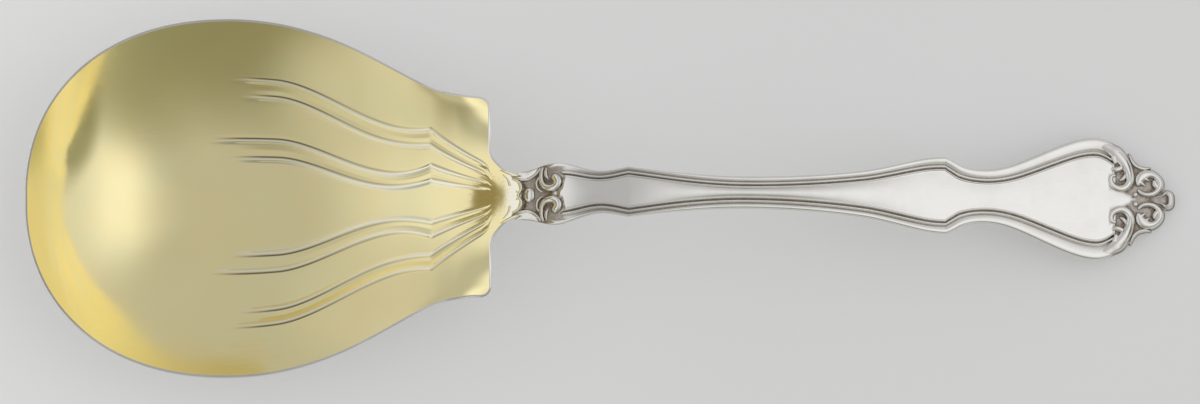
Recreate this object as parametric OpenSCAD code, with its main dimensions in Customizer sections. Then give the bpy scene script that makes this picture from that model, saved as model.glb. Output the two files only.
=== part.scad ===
// Serving spoon: a fluted, gilded bowl soldered to a struck handle that carries cast scroll ornaments.
// Stations run along the spoon from the tip of the bowl. All sizes are in millimetres.

/* [Overall] */
// Length from the tip of the bowl to the tip of the handle
spoon_length = 230; // [214:1:250]

/* [Bowl outline] */
// Length of the bowl, from its tip to the end of its shoulders
bowl_length = 93; // [87:0.5:99]
// Distance from the tip of the bowl to its widest point
bowl_front = 40.5; // [36:0.5:45]
// Width of the bowl at its widest point
bowl_width = 72; // [64:0.5:80]
// Squareness of the bowl's front, 2 being an ellipse
bowl_squareness = 2.2; // [2:0.05:2.5]
// Width across the shoulders
shoulder_width = 40.4; // [36:0.2:45]
// Radius of the corners of the shoulders
shoulder_radius = 2.4; // [1.6:0.1:3.4]

/* [Bowl form] */
// Depth of the hollow below the rim at the widest point
bowl_depth = 17; // [14:0.5:20]
// Thickness of the silver in the floor of the bowl
sheet = 1; // [0.8:0.05:1.5]
// Thickness of the silver at the edge of the bowl
rim_edge = 0.8; // [0.6:0.05:1.1]
// Width of the bare silver rim around the gilding
rim_land = 0.5; // [0.3:0.05:0.8]
// Angle at which the rim climbs towards the handle
rim_tilt = 0.2; // [0:0.1:2]
// Radius of the upward sweep of the rim, seen from the side
rim_sweep = 1200; // [900:10:1600]
// Distance that the edges of the shoulders roll down
shoulder_drop = 0.8; // [0.4:0.1:1.2]
// Reach of that roll, in from the edge
roll_reach = 2.4; // [1.8:0.1:3.2]
// Length over which the form of the bowl changes into that of its heel
heel_reach = 4; // [3:0.1:5]
// Depth of the flat worn under the belly
belly_wear = 0.15; // [0.1:0.01:0.25]
// Thickness of the gold lining
gilding = 0.12; // [0.06:0.01:0.2]

/* [Flutes] */
// Height of the ribs between the flutes
rib_height = 0.4; // [0.2:0.05:0.6]
// Width of a rib at its foot
rib_width = 1.2; // [0.8:0.1:1.6]
// Station where the flutes start to draw together
flute_open = 50; // [47:0.5:54]
// Distance from the flutes' tightest point to the bowl's heel edge
flute_waist = 20; // [18:0.5:23]
// Distance from the kink in the flutes to the bowl's heel edge
flute_kink = 12; // [10.5:0.1:14]
// Length over which a rib rises at its start
rib_fade = 8; // [6:0.5:10]
// Length over which a rib dies away at the heel
heel_fade = 2.5; // [2:0.1:3]

/* [Tongue] */
// Length of the tongue that the bowl lays over the handle
tongue_length = 6.2; // [5.2:0.1:7.2]
// Width of the tongue where it leaves the heel edge
tongue_root_width = 18.4; // [16:0.2:21]
// Width of the tongue at its end
tongue_width = 9.2; // [8.4:0.1:9.4]
// Height of the round across the top of the tongue
neck_crown = 0.5; // [0.3:0.05:0.7]
// Room for solder between the bowl and the handle
solder_room = 0.2; // [0.16:0.01:0.3]
// Length of the drop that the handle lays under the bowl
drop_length = 13; // [10:0.5:16]

/* [Handle widths] */
// Width of the neck beside the tongue's end
neck_width = 9.6; // [9.5:0.1:11]
// Width across the pair of neck scrolls
scroll_width = 12.4; // [11.4:0.1:13.6]
// Width of the dip behind the scrolls
dip_width = 8.6; // [7.8:0.1:9.4]
// Width at the knuckle
knuckle_width = 10.1; // [9.2:0.1:11.2]
// Width of the stem at its slimmest
stem_width = 6.5; // [6:0.1:7.6]
// Width of the blade where it starts to flare
flare_width = 9.3; // [8.4:0.1:10.2]
// Width across the shoulder of the blade
blade_width = 15.4; // [14:0.1:17]
// Width of the waist behind that shoulder
waist_width = 10.8; // [9.8:0.1:12]
// Width of the terminal at its widest
terminal_width = 24.6; // [22.2:0.1:27.2]

/* [Handle stations] */
// Distance from the heel edge to the middle of the neck scrolls
scroll_station = 13; // [12:0.1:14]
// Distance from the heel edge to the dip
dip_station = 22; // [20.5:0.1:23.5]
// Distance from the heel edge to the knuckle
knuckle_station = 27.4; // [25.5:0.1:29.5]
// Distance from the start of the flare to the tip of the handle
flare_station = 63.2; // [59:0.2:67]
// Distance from the shoulder of the blade to the tip of the handle
blade_station = 46.2; // [44:0.2:49]
// Distance from the waist to the tip of the handle
waist_station = 38.6; // [36.5:0.2:40.5]
// Distance from the widest point of the terminal to the tip of the handle
terminal_station = 16.2; // [15:0.1:17.5]
// Distance that the tip bead stands past the plate of the terminal
bead_overhang = 1.4; // [1:0.1:1.8]

/* [Handle heights] */
// Rise of the arch above the neck
arch_rise = 6.8; // [5.4:0.1:8]
// Slope at which the tip of the handle comes down to the table
tip_slope = 0.24; // [0.18:0.01:0.3]
// Thickness of the handle under the scrolls
neck_thickness = 3; // [2.4:0.1:3.6]
// Thickness of the stem
stem_thickness = 2.9; // [2.4:0.1:3.4]
// Thickness of the blade
blade_thickness = 2.1; // [1.7:0.1:2.6]
// Thickness of the terminal
terminal_thickness = 1.6; // [1.4:0.1:2]
// Thickness of the handle along its edges
edge_thickness = 1; // [0.8:0.05:1.2]
// Height of the round across the stem
stem_crown = 0.8; // [0.5:0.05:1]
// Height of the round across the blade
blade_crown = 0.4; // [0.2:0.05:0.6]
// Depth of the sunk ground around the ornaments, below the panel
ground_drop = 0.35; // [0.2:0.05:0.5]

/* [Border] */
// Width of the rounded edge moulding along the stem
moulding_stem = 0.9; // [0.7:0.05:1.1]
// Width of the rounded edge moulding around the terminal
moulding_terminal = 2.4; // [2:0.1:2.8]
// Height of the edge moulding
moulding_height = 0.35; // [0.2:0.05:0.5]
// Width of the thread inside the moulding
thread_width = 0.45; // [0.35:0.05:0.55]
// Height of the thread
thread_height = 0.28; // [0.15:0.01:0.4]
// Width of the grooves beside the thread
groove_width = 0.25; // [0.2:0.05:0.3]
// Distance from the middle of the neck scrolls to the start of the border
border_lead = 2.6; // [2.2:0.1:3]
// Distance from the end of the border to the widest point of the terminal
border_stop = 0.4; // [0.2:0.1:0.8]
// Length over which the border dies away at its ends
border_fade = 1.2; // [0.8:0.1:1.6]

/* [Ornaments] */
// Height of the neck scrolls and crescents
neck_relief = 0.9; // [0.6:0.05:1.2]
// Height of the tip scrolls and leaves
tip_relief = 1; // [0.7:0.05:1.3]
// Height of the scalloped crest on the tongue
crest_relief = 0.45; // [0.3:0.05:0.6]
// Radius of the neck bead
bead_radius = 1.25; // [1:0.05:1.4]
// Radius of the tip bead
tip_bead_radius = 1.75; // [1.4:0.05:1.9]
// Radius of the small pearls between the tip scrolls
pearl_radius = 0.55; // [0.4:0.05:0.6]
// Clearance at a soldered seat
seat_gap = 0.05; // [0.04:0.01:0.07]

/* [Hidden] */
$fn = 48;

silver = [0.86, 0.85, 0.82];
worn_silver = [0.8, 0.79, 0.76];
gold = [0.91, 0.83, 0.6];
solder_grey = [0.7, 0.68, 0.63];

// Stations of the joints and of the handle's main points
heel = bowl_length;
tongue_end = heel + tongue_length;
corner = heel - shoulder_radius;
kink = heel - flute_kink;
drop_tip = heel - drop_length;
scrolls = heel + scroll_station;
dip = heel + dip_station;
knuckle = heel + knuckle_station;
flare = spoon_length - flare_station;
blade = spoon_length - blade_station;
waist = spoon_length - waist_station;
terminal = spoon_length - terminal_station;
plate_end = spoon_length - bead_overhang;
border_start = scrolls + border_lead;
border_end = terminal - border_stop;

// Share of the depth in the round middle of the hollow's section. The wall takes the rest, and past a share
// of 1 it eases off
side_share = 1;
flank_share = 1.75;
heel_share = 1.4;
tip_share = 0.1;
round_power = 2;
wall_power = 3;
tip_power = 4;

// Flank of the bowl from its widest point to its shoulders: [share of length, share of narrowing, slopes]
flank_shape = [[0, 0, 0], [0.45, 0.3, 1.35], [0.69, 0.69, 1.75], [0.81, 0.885, 1.4],
               [0.93, 0.98, 0.5], [1, 1, 0.1]];

// Floor of the bowl from its deepest point to the tongue's end: [share of length, share of depth, slopes]
kink_share = (kink - bowl_front) / (tongue_end - bowl_front);
floor_shape = [[0, 1, 0], [0.2, 0.975, -0.28], [0.366, 0.9, -0.65], [0.588, 0.7, -1.1],
               [kink_share, 0.58, -1.35], [0.86, 0.285, -2.3], [0.92, 0.15, -2.1], [0.963, 0.065, -1.7],
               [1, 0.005, -1.1]];

// Ribs as shares of the half width: [in the belly, at the waist, at the kink, at the heel],
// and the station of each start as a share of the bowl's front
ribs = [[0.27, 0.127, 0.195, 0.085, 0.988], [0.371, 0.226, 0.328, 0.144, 0.889],
        [0.605, 0.46, 0.507, 0.226, 1.037], [0.695, 0.572, 0.643, 0.311, 0.988]];

// Helpers
function clamp01(t) = min(1, max(0, t));
function smooth(a, b, x) = let (t = clamp01((x - a) / (b - a))) t * t * (3 - 2 * t);
function mix(a, b, t) = a + (b - a) * t;

// Value at x of a smooth curve through knots [x, value, slope before, slope after]
function span_at(k, x, i = 0) = i + 2 >= len(k) || x < k[i + 1][0] ? i : span_at(k, x, i + 1);
function curve_at(k, x) =
    let (i = span_at(k, x), a = k[i], b = k[i + 1], h = b[0] - a[0], t = clamp01((x - a[0]) / h))
    a[1] * (2 * t^3 - 3 * t^2 + 1) + b[1] * (3 * t^2 - 2 * t^3)
    + h * (a[len(a) - 1] * (t^3 - 2 * t^2 + t) + b[2] * (t^3 - t^2));

// Stations between breakpoints [station, steps from the one before]
function stations(marks) = concat([marks[0][0]],
    [for (k = [1 : len(marks) - 1], i = [1 : marks[k][1]])
        mix(marks[k - 1][0], marks[k][0], i / marks[k][1])]);

// A point of the spoon in the part's own frame
function at(s, y, z) = [s - spoon_length / 2, y, z];

// Half width of the bowl's flank, as the form has it before its corners are rounded
function flank(s) =
    bowl_width / 2 - (bowl_width - shoulder_width) / 2
    * curve_at(flank_shape, (s - bowl_front) / (corner - bowl_front));

// Half width of the tongue, a hollow fillet from the heel edge to its end
tongue_power = 1.6;
function tongue_half(s) =
    let (t = clamp01((s - heel) / tongue_length))
    tongue_root_width / 2
    - (tongue_root_width - tongue_width) / 2 * (1 - (1 - t)^tongue_power)^(1 / tongue_power);

// Height of the rim above its own level at the widest point
function rim_climb(s) = tan(rim_tilt) * (s - bowl_front) + (s - bowl_front)^2 / (2 * rim_sweep);

// Place in the hollow from 0 in the middle to 1 on an outline set in by inset
function hollow_place(s, y, inset) =
    s < bowl_front
    ? (abs((bowl_front - s) / (bowl_front - inset))^bowl_squareness
       + abs(y / (bowl_width / 2 - inset))^bowl_squareness)^(1 / bowl_squareness)
    : abs(y) / (flank(s) - inset);

// How far a place lies towards the tip rather than to a side
function tip_lead(s, y, inset) =
    s >= bowl_front ? 0
    : let (ahead = (bowl_front - s) / (bowl_front - inset), aside = y / (bowl_width / 2 - inset))
      smooth(0, 1, ahead^2 / (ahead^2 + aside^2));

// Share of the depth left at a place
flank_middle = mix(bowl_front, heel, 0.486);
function section_left(share, power, q) = 1 - share * q^round_power - (1 - share) * q^power;
function dish(s, y, inset) =
    let (q = min(hollow_place(s, y, inset), 1),
         flank_round = mix(side_share, flank_share, smooth(bowl_front, flank_middle, s)),
         share = mix(flank_round, heel_share, smooth(flank_middle, heel, s)))
    mix(section_left(share, wall_power, q), section_left(tip_share, tip_power, q), tip_lead(s, y, inset));

// Depth of the hollow along the spoon
function hollow_depth(s) =
    s < bowl_front ? bowl_depth
    : bowl_depth * curve_at(floor_shape, (s - bowl_front) / (tongue_end - bowl_front));

// Roll of the shoulders' edges, and the round across the tongue
function edge_roll(s, y) =
    let (d = max(0, flank(s) - abs(y)))
    shoulder_drop * smooth(kink - heel_reach, kink + heel_reach, s) * max(0, 1 - d / roll_reach)^2;
function neck_round(s, y) =
    neck_crown * smooth(heel - heel_reach, tongue_end, s) * (2 * y / neck_width)^2;

// Outside of the bowl before it is lifted onto the table, and the lift that leaves the worn flat at zero
function outside_form(s, y) =
    rim_climb(s) - rim_edge - (hollow_depth(s) + sheet - rim_edge) * dish(s, y, 0)
    - edge_roll(s, y) - neck_round(s, y);
belly_samples = 160;
belly_low = min([for (i = [0 : belly_samples]) outside_form(bowl_front * (0.5 + i / belly_samples), 0)]);
rim_level = -belly_low - belly_wear;

// Heights of the rim, of the gilded inside without its ribs, and of the outside
function rim_top(s, y) = rim_level + rim_climb(s) - edge_roll(s, y) - neck_round(s, y);
function inside_form(s, y) =
    rim_top(s, y) - hollow_depth(s) * dish(s, y, rim_land);
function outside(s, y) = rim_level + outside_form(s, y);

// Share of the half width at which rib k runs, and how far it stands out there
function rib_share(k, s) =
    let (r = ribs[k], low = heel - flute_waist)
    s < low ? mix(r[0], r[1], smooth(flute_open, low, s))
    : s < kink ? mix(r[1], r[2], ((s - low) / (kink - low))^2)
    : mix(r[2], r[3], clamp01((s - kink) / (heel - kink)));
function rib_lift(k, s) =
    let (start = ribs[k][4] * bowl_front)
    rib_height * smooth(start, start + rib_fade, s) * (1 - smooth(heel - heel_fade, heel, s));

// Grid of the bowl: its rows run across the spoon, its columns run along the ribs
bowl_front_angles = [3, 10, 18, 26, 34, 42, 50, 58, 66, 74, 82];
bowl_sides = stations([[bowl_front, 0], [kink, 12], [corner, 6]]);
bowl_corners = [30, 60, 90];
tongue_rows = [0.1, 0.25, 0.4, 0.6, 0.8, 1];
heel_row = len(bowl_front_angles) + len(bowl_sides) + len(bowl_corners) - 1;
bowl_rows = heel_row + len(tongue_rows);

// Station and half width of each row on the outline set in by inset
function bowl_outline(inset) = concat(
    [for (a = bowl_front_angles)
        [bowl_front - (bowl_front - inset) * cos(a),
         (bowl_width / 2 - inset) * (1 - cos(a)^bowl_squareness)^(1 / bowl_squareness)]],
    [for (s = bowl_sides) [s, flank(s) - inset]],
    [for (a = bowl_corners)
        [corner + (shoulder_radius - inset) * sin(a),
         flank(corner) - shoulder_radius + (shoulder_radius - inset) * cos(a)]],
    [for (t = tongue_rows)
        let (s = heel - inset + tongue_length * t)
        [s, tongue_half(s + inset) - inset * t]]);

// Columns on one side of the middle, as shares of the half width
foot_share = 0.3;
wall_column = 0.8;
tongue_column = 13;
rim_column = 16;
heel_half = flank(corner) - shoulder_radius;
function rib_foot(k, s, half) =
    let (inner = k - k % 2, apart = rib_share(inner + 1, s) - rib_share(inner, s))
    min(rib_width / 2 / half, foot_share * apart);
function bowl_columns(s, half) =
    let (root = mix(wall_column, tongue_root_width / 2 / heel_half, smooth(kink - 2 * heel_reach, heel, s)))
    concat([0],
        [for (k = [0 : 3], side = [-1, 0, 1]) rib_share(k, s) + side * rib_foot(k, s, half)],
        [for (t = [0, 0.4, 0.75, 1]) mix(root, 1, t)]);
function column_rib(j) = j >= 1 && j <= 12 && (j - 1) % 3 == 1 ? floor((j - 1) / 3) : -1;

// Distance from the middle of column j on a row of the outline
function bowl_across(outline, i, j) =
    let (s = outline[i][0], half = outline[i][1], h = outline[heel_row], k = abs(j))
    sign(j) * (i <= heel_row ? bowl_columns(s, half)[k] * half
        : let (c = bowl_columns(h[0], h[1])) min(1, c[k] / c[tongue_column]) * half);

// Points of the bowl's grid on one of its surfaces
function bowl_points(inset, lift, ribbed) =
    let (outline = bowl_outline(inset))
    [for (i = [0 : bowl_rows], j = [-rim_column : rim_column])
        let (s = outline[i][0], y = bowl_across(outline, i, j), k = column_rib(abs(j)))
        at(s, y, lift + (ribbed ? inside_form(s, y) + (k >= 0 ? rib_lift(k, s) : 0) : outside(s, y)))];

// Faces of a grid of rows and of columns from -n to n, whose rows past row h keep columns -m to m
function cell(i, j, n) = i * (2 * n + 1) + j + n;
function grid_faces(rows, n, h, m, base, up) =
    [for (i = [0 : rows - 1], j = [-n : n - 1]) if (i < h || (j >= -m && j < m))
        let (a = base + cell(i, j, n), b = base + cell(i + 1, j, n),
             c = base + cell(i + 1, j + 1, n), d = base + cell(i, j + 1, n),
             halves = j < 0 ? [[a, d, b], [d, c, b]] : [[a, d, c], [a, c, b]])
        each (up ? halves : [for (f = halves) [f[2], f[1], f[0]]])];

// Edge of such a grid as cells, run anticlockwise as seen from above
function grid_edge(rows, n, h, m) = concat(
    [for (i = [0 : 1 : h - 1]) [i, -n]], [for (j = [-n : 1 : -m - 1]) [h, j]],
    [for (i = [h : 1 : rows - 1]) [i, -m]], [for (j = [-m : 1 : m - 1]) [rows, j]],
    [for (i = [rows : -1 : h + 1]) [i, m]], [for (j = [m : 1 : n - 1]) [h, j]],
    [for (i = [h : -1 : 1]) [i, n]], [for (j = [n : -1 : -n + 1]) [0, j]]);

// Wall between two rings of points of the same count
function ring_faces(upper, lower) =
    [for (k = [0 : len(upper) - 1]) let (l = (k + 1) % len(upper))
        each [[upper[k], upper[l], lower[l]], [upper[k], lower[l], lower[k]]]];

// Closed solid between two grids over the same rows and columns
module grid_solid(top, bottom, rows, n, h, m) {
    edge = [for (e = grid_edge(rows, n, h, m)) cell(e[0], e[1], n)];
    polyhedron(concat(top, bottom),
        concat(grid_faces(rows, n, h, m, 0, true), grid_faces(rows, n, h, m, len(top), false),
               ring_faces(edge, [for (e = edge) e + len(top)])));
}

// Bowl: a struck sheet with a bare rim, a worn flat under its belly and a tongue over the handle
module bowl() {
    seat = bowl_points(rim_land, -gilding, true);
    under = bowl_points(0, 0, false);
    outline = bowl_outline(0);
    edge = grid_edge(bowl_rows, rim_column, heel_row, tongue_column);
    cells = [for (e = edge) cell(e[0], e[1], rim_column)];
    rim = [for (e = edge)
        let (s = outline[e[0]][0], y = bowl_across(outline, e[0], e[1]))
        at(s, y, outside(s, y) + rim_edge)];
    rim_ring = [for (k = [0 : len(edge) - 1]) len(seat) + k];
    under_base = len(seat) + len(rim);
    color(silver)
    difference() {
        polyhedron(concat(seat, rim, under),
            concat(grid_faces(bowl_rows, rim_column, heel_row, tongue_column, 0, true),
                   ring_faces(cells, rim_ring),
                   ring_faces(rim_ring, [for (c = cells) c + under_base]),
                   grid_faces(bowl_rows, rim_column, heel_row, tongue_column, under_base, false)));
        translate([-spoon_length, -bowl_width, -sheet * 2])
        cube([spoon_length * 2, bowl_width * 2, sheet * 2]);
    }
}

// Gold lining of the hollow and of the tongue
module bowl_gilding() {
    color(gold)
    grid_solid(bowl_points(rim_land, 0, true), bowl_points(rim_land, -gilding, true),
               bowl_rows, rim_column, heel_row, tongue_column);
}

// Outline of the handle as half widths
stem_middle = (knuckle + flare) / 2;
function handle_knots() = [
    [tongue_end, neck_width / 2, 0], [scrolls, scroll_width / 2, 0], [dip, dip_width / 2, 0],
    [knuckle, knuckle_width / 2, 0.16, -0.13], [stem_middle, stem_width / 2, 0],
    [flare, flare_width / 2, 0.13], [mix(flare, blade, 0.7), mix(flare_width, blade_width, 0.83) / 2, 0.2],
    [blade, blade_width / 2, 0, -0.35],
    [mix(blade, waist, 0.33), mix(waist_width, blade_width, 0.46) / 2, -0.55],
    [waist, waist_width / 2, 0],
    [mix(waist, terminal, 0.33), mix(waist_width, terminal_width, 0.255) / 2, 0.42],
    [mix(waist, terminal, 0.6), mix(waist_width, terminal_width, 0.64) / 2, 0.43],
    [terminal, terminal_width / 2, 0], [tip_station(0.34), terminal_width * 0.41, -0.75],
    [tip_station(0.555), terminal_width * 0.275, -0.55], [tip_station(0.77), terminal_width * 0.21, -0.5],
    [plate_end, terminal_width * 0.085, -1.8]];

// Outline of the drop under the bowl
drop_end_width = 1.6;
function drop_knots() = [
    [drop_tip, drop_end_width / 2, 0.5], [mix(drop_tip, heel, 0.35), neck_width * 0.22, 0.22],
    [heel, neck_width * 0.39, 0.17], [tongue_end, neck_width / 2, 0.1]];
function handle_half(s) = s < tongue_end ? curve_at(drop_knots(), s) : curve_at(handle_knots(), s);

// Thickness of the handle below its ground along the middle, and along its edges
drop_tip_thickness = 0.5;
drop_tip_edge = 0.3;
function handle_thickness(s) = curve_at([
    [drop_tip, drop_tip_thickness, 0.05], [heel, neck_thickness * 0.7, 0.1], [scrolls, neck_thickness, 0],
    [stem_middle, stem_thickness, 0], [blade, blade_thickness, -0.02], [terminal, terminal_thickness, 0],
    [spoon_length, terminal_thickness, 0]], s);
function edge_depth(s) = mix(drop_tip_edge, edge_thickness, smooth(drop_tip, tongue_end, s));

// Height of the middle of the panel: up from the tongue to the knuckle, then down to the tip, both as
// [share of length, share of height, slope]
neck_top = outside(tongue_end, 0) - solder_room + ground_drop;
arch_top = neck_top + arch_rise;
tip_top = terminal_thickness + ground_drop - tip_slope * bead_overhang;
rise_shape = [[0, 0, 1.5], [0.18, 0.33, 2.1], [0.37, 0.69, 1.5], [0.6, 0.91, 0.6], [1, 1, 0.1]];
fall_shape = [[0, 0, 0.1], [0.133, 0.07, 0.75], [0.316, 0.205, 0.8], [0.42, 0.3, 1.05],
              [0.7, 0.64, 1.3], [1, 1, 1.15]];
function spine(s) =
    s < knuckle
    ? mix(neck_top, arch_top, curve_at(rise_shape, (s - tongue_end) / (knuckle - tongue_end)))
    : mix(arch_top, tip_top, curve_at(fall_shape, (s - knuckle) / (spoon_length - knuckle)));
function crown(s) = curve_at([
    [tongue_end, neck_crown, 0], [dip, stem_crown, 0], [flare, stem_crown, 0],
    [blade, blade_crown, 0], [spoon_length, blade_crown, 0]], s);

// Ground that the ornaments sit on, and the seat of the bowl in front of it
function round_half(s) = s < terminal ? handle_half(s) : terminal_width / 2;
function ground(s, y) = spine(s) - ground_drop - crown(s) * (y / round_half(s))^2;
function handle_seat(s, y) = s < tongue_end ? outside(s, y) - solder_room : ground(s, y);
function handle_under(s, y) =
    let (v = y / handle_half(s), e = edge_depth(s))
    handle_seat(s, y) - e - (handle_thickness(s) - e) * (1 - v^2);

// Border of the panel: an edge moulding, a groove, a thread and a groove
function moulding(s) = curve_at([
    [tongue_end, moulding_stem, 0], [flare, moulding_stem, 0.01],
    [waist, mix(moulding_stem, moulding_terminal, 0.35), 0.03],
    [terminal, moulding_terminal, 0], [spoon_length, moulding_terminal, 0]], s);
border_rise = [0, 0.7, 1, 0.7, 0];
function border_shown(s) =
    smooth(border_start - border_fade, border_start, s)
    * (1 - smooth(border_end, border_end + border_fade, s));
function handle_insets(s) =
    let (w = moulding(s), g = groove_width, t = thread_width)
    [0, 0.14 * w, 0.5 * w, 0.86 * w, w + g / 2, w + g + t / 2, w + 1.5 * g + t, w + 2 * g + t];
function inset_lift(j) =
    j < 5 ? moulding_height * border_rise[j] : j == 5 ? thread_height : j == 6 ? 0 : ground_drop;

// Rows of the handle, and its columns on one side of the middle counted from the edge
handle_stations = stations([
    [drop_tip, 0], [heel, 9], [tongue_end, 5], [scrolls, 5], [border_start, 3], [dip, 4], [knuckle, 4],
    [stem_middle, 7], [flare, 6], [mix(flare, blade, 0.7), 4], [blade, 3], [mix(blade, waist, 0.33), 3],
    [waist, 3], [mix(waist, terminal, 0.6), 7], [terminal, 5], [border_end, 2],
    [border_end + border_fade, 2], [tip_station(0.34), 2], [tip_station(0.555), 3],
    [tip_station(0.77), 3], [plate_end, 4]]);
handle_columns = 9;
panel_column = 0.5;
function handle_across(s, j) =
    let (half = handle_half(s), f = max(s, tongue_end), d = handle_insets(f), k = handle_columns - abs(j),
         full = handle_half(f), panel = full - d[7],
         y = k < 8 ? full - d[k] : k == 8 ? panel * panel_column : 0)
    sign(j) * y * half / full;
function handle_top(s, j) =
    let (y = handle_across(s, j), k = handle_columns - abs(j))
    handle_seat(s, y) + (s <= tongue_end ? 0 : border_shown(s) * inset_lift(k));

// Handle: drop, neck, stem, blade and terminal struck in one piece
module handle() {
    rows = len(handle_stations) - 1;
    n = handle_columns;
    color(silver)
    grid_solid(
        [for (s = handle_stations, j = [-n : n]) at(s, handle_across(s, j), handle_top(s, j))],
        [for (s = handle_stations, j = [-n : n])
            let (y = handle_across(s, j)) at(s, y, handle_under(s, y))],
        rows, n, rows, n);
}

// Film of hard solder between the bowl and the drop and tongue seat of the handle
solder_margin = 0.5;
solder_steps = 16;
solder_columns = 3;
solder_spread = 0.9;
solder_rows = stations([[drop_tip + solder_margin, 0], [tongue_end - solder_margin, solder_steps]]);
module heel_solder() {
    rows = len(solder_rows) - 1;
    n = solder_columns;
    film = [for (depth = [seat_gap, solder_room - seat_gap])
        [for (s = solder_rows, j = [-n : n])
            let (y = handle_half(s) * solder_spread * j / n) at(s, y, outside(s, y) - depth)]];
    color(solder_grey) grid_solid(film[0], film[1], rows, n, rows, n);
}

// Points of a smooth line through hand-set points
line_steps = 4;
function line_at(p, i, t) =
    let (n = len(p) - 1, a = p[max(0, i - 1)], b = p[i], c = p[min(n, i + 1)], d = p[min(n, i + 2)])
    (2 * b + (c - a) * t + (2 * a - 5 * b + 4 * c - d) * t^2 + (3 * b - a - 3 * c + d) * t^3) / 2;
function line_points(p) = concat(
    [for (i = [0 : len(p) - 2], k = [0 : line_steps - 1]) line_at(p, i, k / line_steps)], [p[len(p) - 1]]);

// Half-round ribbon laid on the ground, or on the tongue, along points [station, across, width]
section = [[-1, 0], [-1, 0.25], [-0.6, 0.82], [0, 1], [0.6, 0.82], [1, 0.25], [1, 0]];
function laid_on(s, y, on_tongue) = seat_gap + (on_tongue ? inside_form(s, y) : ground(s, y));
module ribbon(points, relief, on_tongue = false) {
    line = line_points(points);
    last = len(line) - 1;
    count = len(section);
    rings = [for (i = [0 : last])
        let (a = line[max(0, i - 1)], b = line[min(last, i + 1)], dx = b[0] - a[0], dy = b[1] - a[1],
             long = sqrt(dx^2 + dy^2), half = line[i][2] / 2)
        each [for (q = section)
            let (s = line[i][0] - dy / long * half * q[0], y = line[i][1] + dx / long * half * q[0])
            at(s, y, laid_on(s, y, on_tongue) + relief * q[1])]];
    polyhedron(rings, concat(
        [for (i = [0 : last - 1], k = [0 : count - 1])
            let (a = i * count + k, b = i * count + (k + 1) % count, c = b + count, d = a + count)
            each [[a, b, c], [a, c, d]]],
        [[for (k = [count - 1 : -1 : 0]) k]], [[for (k = [0 : count - 1]) last * count + k]]));
}

// Domed button seated on the ground, tilted with it
module button(s, y, radius, height) {
    slope = atan((ground(s + radius / 2, y) - ground(s - radius / 2, y)) / radius);
    swell = (radius^2 + height^2) / (2 * height);
    translate(at(s, y, ground(s, y) + seat_gap))
    rotate([0, -slope, 0])
    intersection() {
        translate([0, 0, height - swell]) sphere(swell);
        cylinder(h = height, r = radius);
    }
}

// Heights of the crescents and of the thorn leaves as shares of the scrolls beside them
crescent_share = 0.7;
thorn_share = 0.6;

// Ornaments of one side, given for the left and flipped across the spoon for the right
LEFT = 1;
RIGHT = -1;
function backwards(points) = [for (i = [len(points) - 1 : -1 : 0]) points[i]];
function flipped(points, side) = [for (p = points) [p[0], p[1] * side, p[2]]];

// Places on the neck: share of its length from the tongue to the scrolls, then place across it and width
// as shares of its scrolls' half width
function neck_place(a, c, w) =
    [tongue_end + a * (scrolls - tongue_end), c * scroll_width / 2, w * scroll_width / 2];

// Places on the tip: share of its length from the widest point, then place across it and width as shares
// of the terminal's half width
function tip_station(a) = terminal + a * terminal_station;
function tip_place(a, c, w) = [tip_station(a), c * terminal_width / 2, w * terminal_width / 2];

// Places on the tongue: share of its length back from its end, then place across it and width as shares
// of its end's half width
function tongue_place(a, c, w) =
    [tongue_end - a * tongue_length, c * tongue_width / 2, w * tongue_width / 2];

// Scalloped crest across the end of the tongue
crest_half = [
    tongue_place(0.4, 0.68, 0.087), tongue_place(0.24, 0.55, 0.109),
    tongue_place(0.13, 0.26, 0.109), tongue_place(0.17, 0.07, 0.098)];
module heel_crest() {
    color(gold)
    ribbon(concat(flipped(crest_half, RIGHT), backwards(crest_half)), crest_relief, true);
}

// Leaf stroke on one side of the tongue
leaf_line = [
    tongue_place(0.26, 0.86, 0.098), tongue_place(0.46, 0.92, 0.12), tongue_place(0.72, 1.08, 0.076)];
module heel_leaf(side) {
    color(gold) ribbon(flipped(leaf_line, side), crest_relief, true);
}
module heel_leaf_left() heel_leaf(LEFT);
module heel_leaf_right() heel_leaf(RIGHT);

// Bead in the middle of the neck
module neck_bead() {
    color(silver) button(neck_place(0.24, 0, 0)[0], 0, bead_radius, neck_relief);
}

// Crescent along one side of the neck
crescent_line = [
    neck_place(0.06, 0.6, 0.083), neck_place(0.2, 0.56, 0.099), neck_place(0.36, 0.62, 0.099),
    neck_place(0.48, 0.73, 0.083), neck_place(0.56, 0.85, 0.066)];
module neck_crescent(side) {
    color(silver) ribbon(flipped(crescent_line, side), neck_relief * crescent_share);
}
module neck_crescent_left() neck_crescent(LEFT);
module neck_crescent_right() neck_crescent(RIGHT);

// Scroll on one side of the neck
scroll_line = [
    neck_place(0.67, 0.84, 0.083), neck_place(0.59, 0.62, 0.116), neck_place(0.6, 0.4, 0.14),
    neck_place(0.7, 0.2, 0.157), neck_place(0.87, 0.13, 0.165), neck_place(1.03, 0.22, 0.165),
    neck_place(1.09, 0.4, 0.149), neck_place(1.02, 0.56, 0.132), neck_place(0.9, 0.6, 0.116)];
module neck_scroll(side) {
    color(silver) ribbon(flipped(scroll_line, side), neck_relief);
}
module neck_scroll_left() neck_scroll(LEFT);
module neck_scroll_right() neck_scroll(RIGHT);

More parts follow.
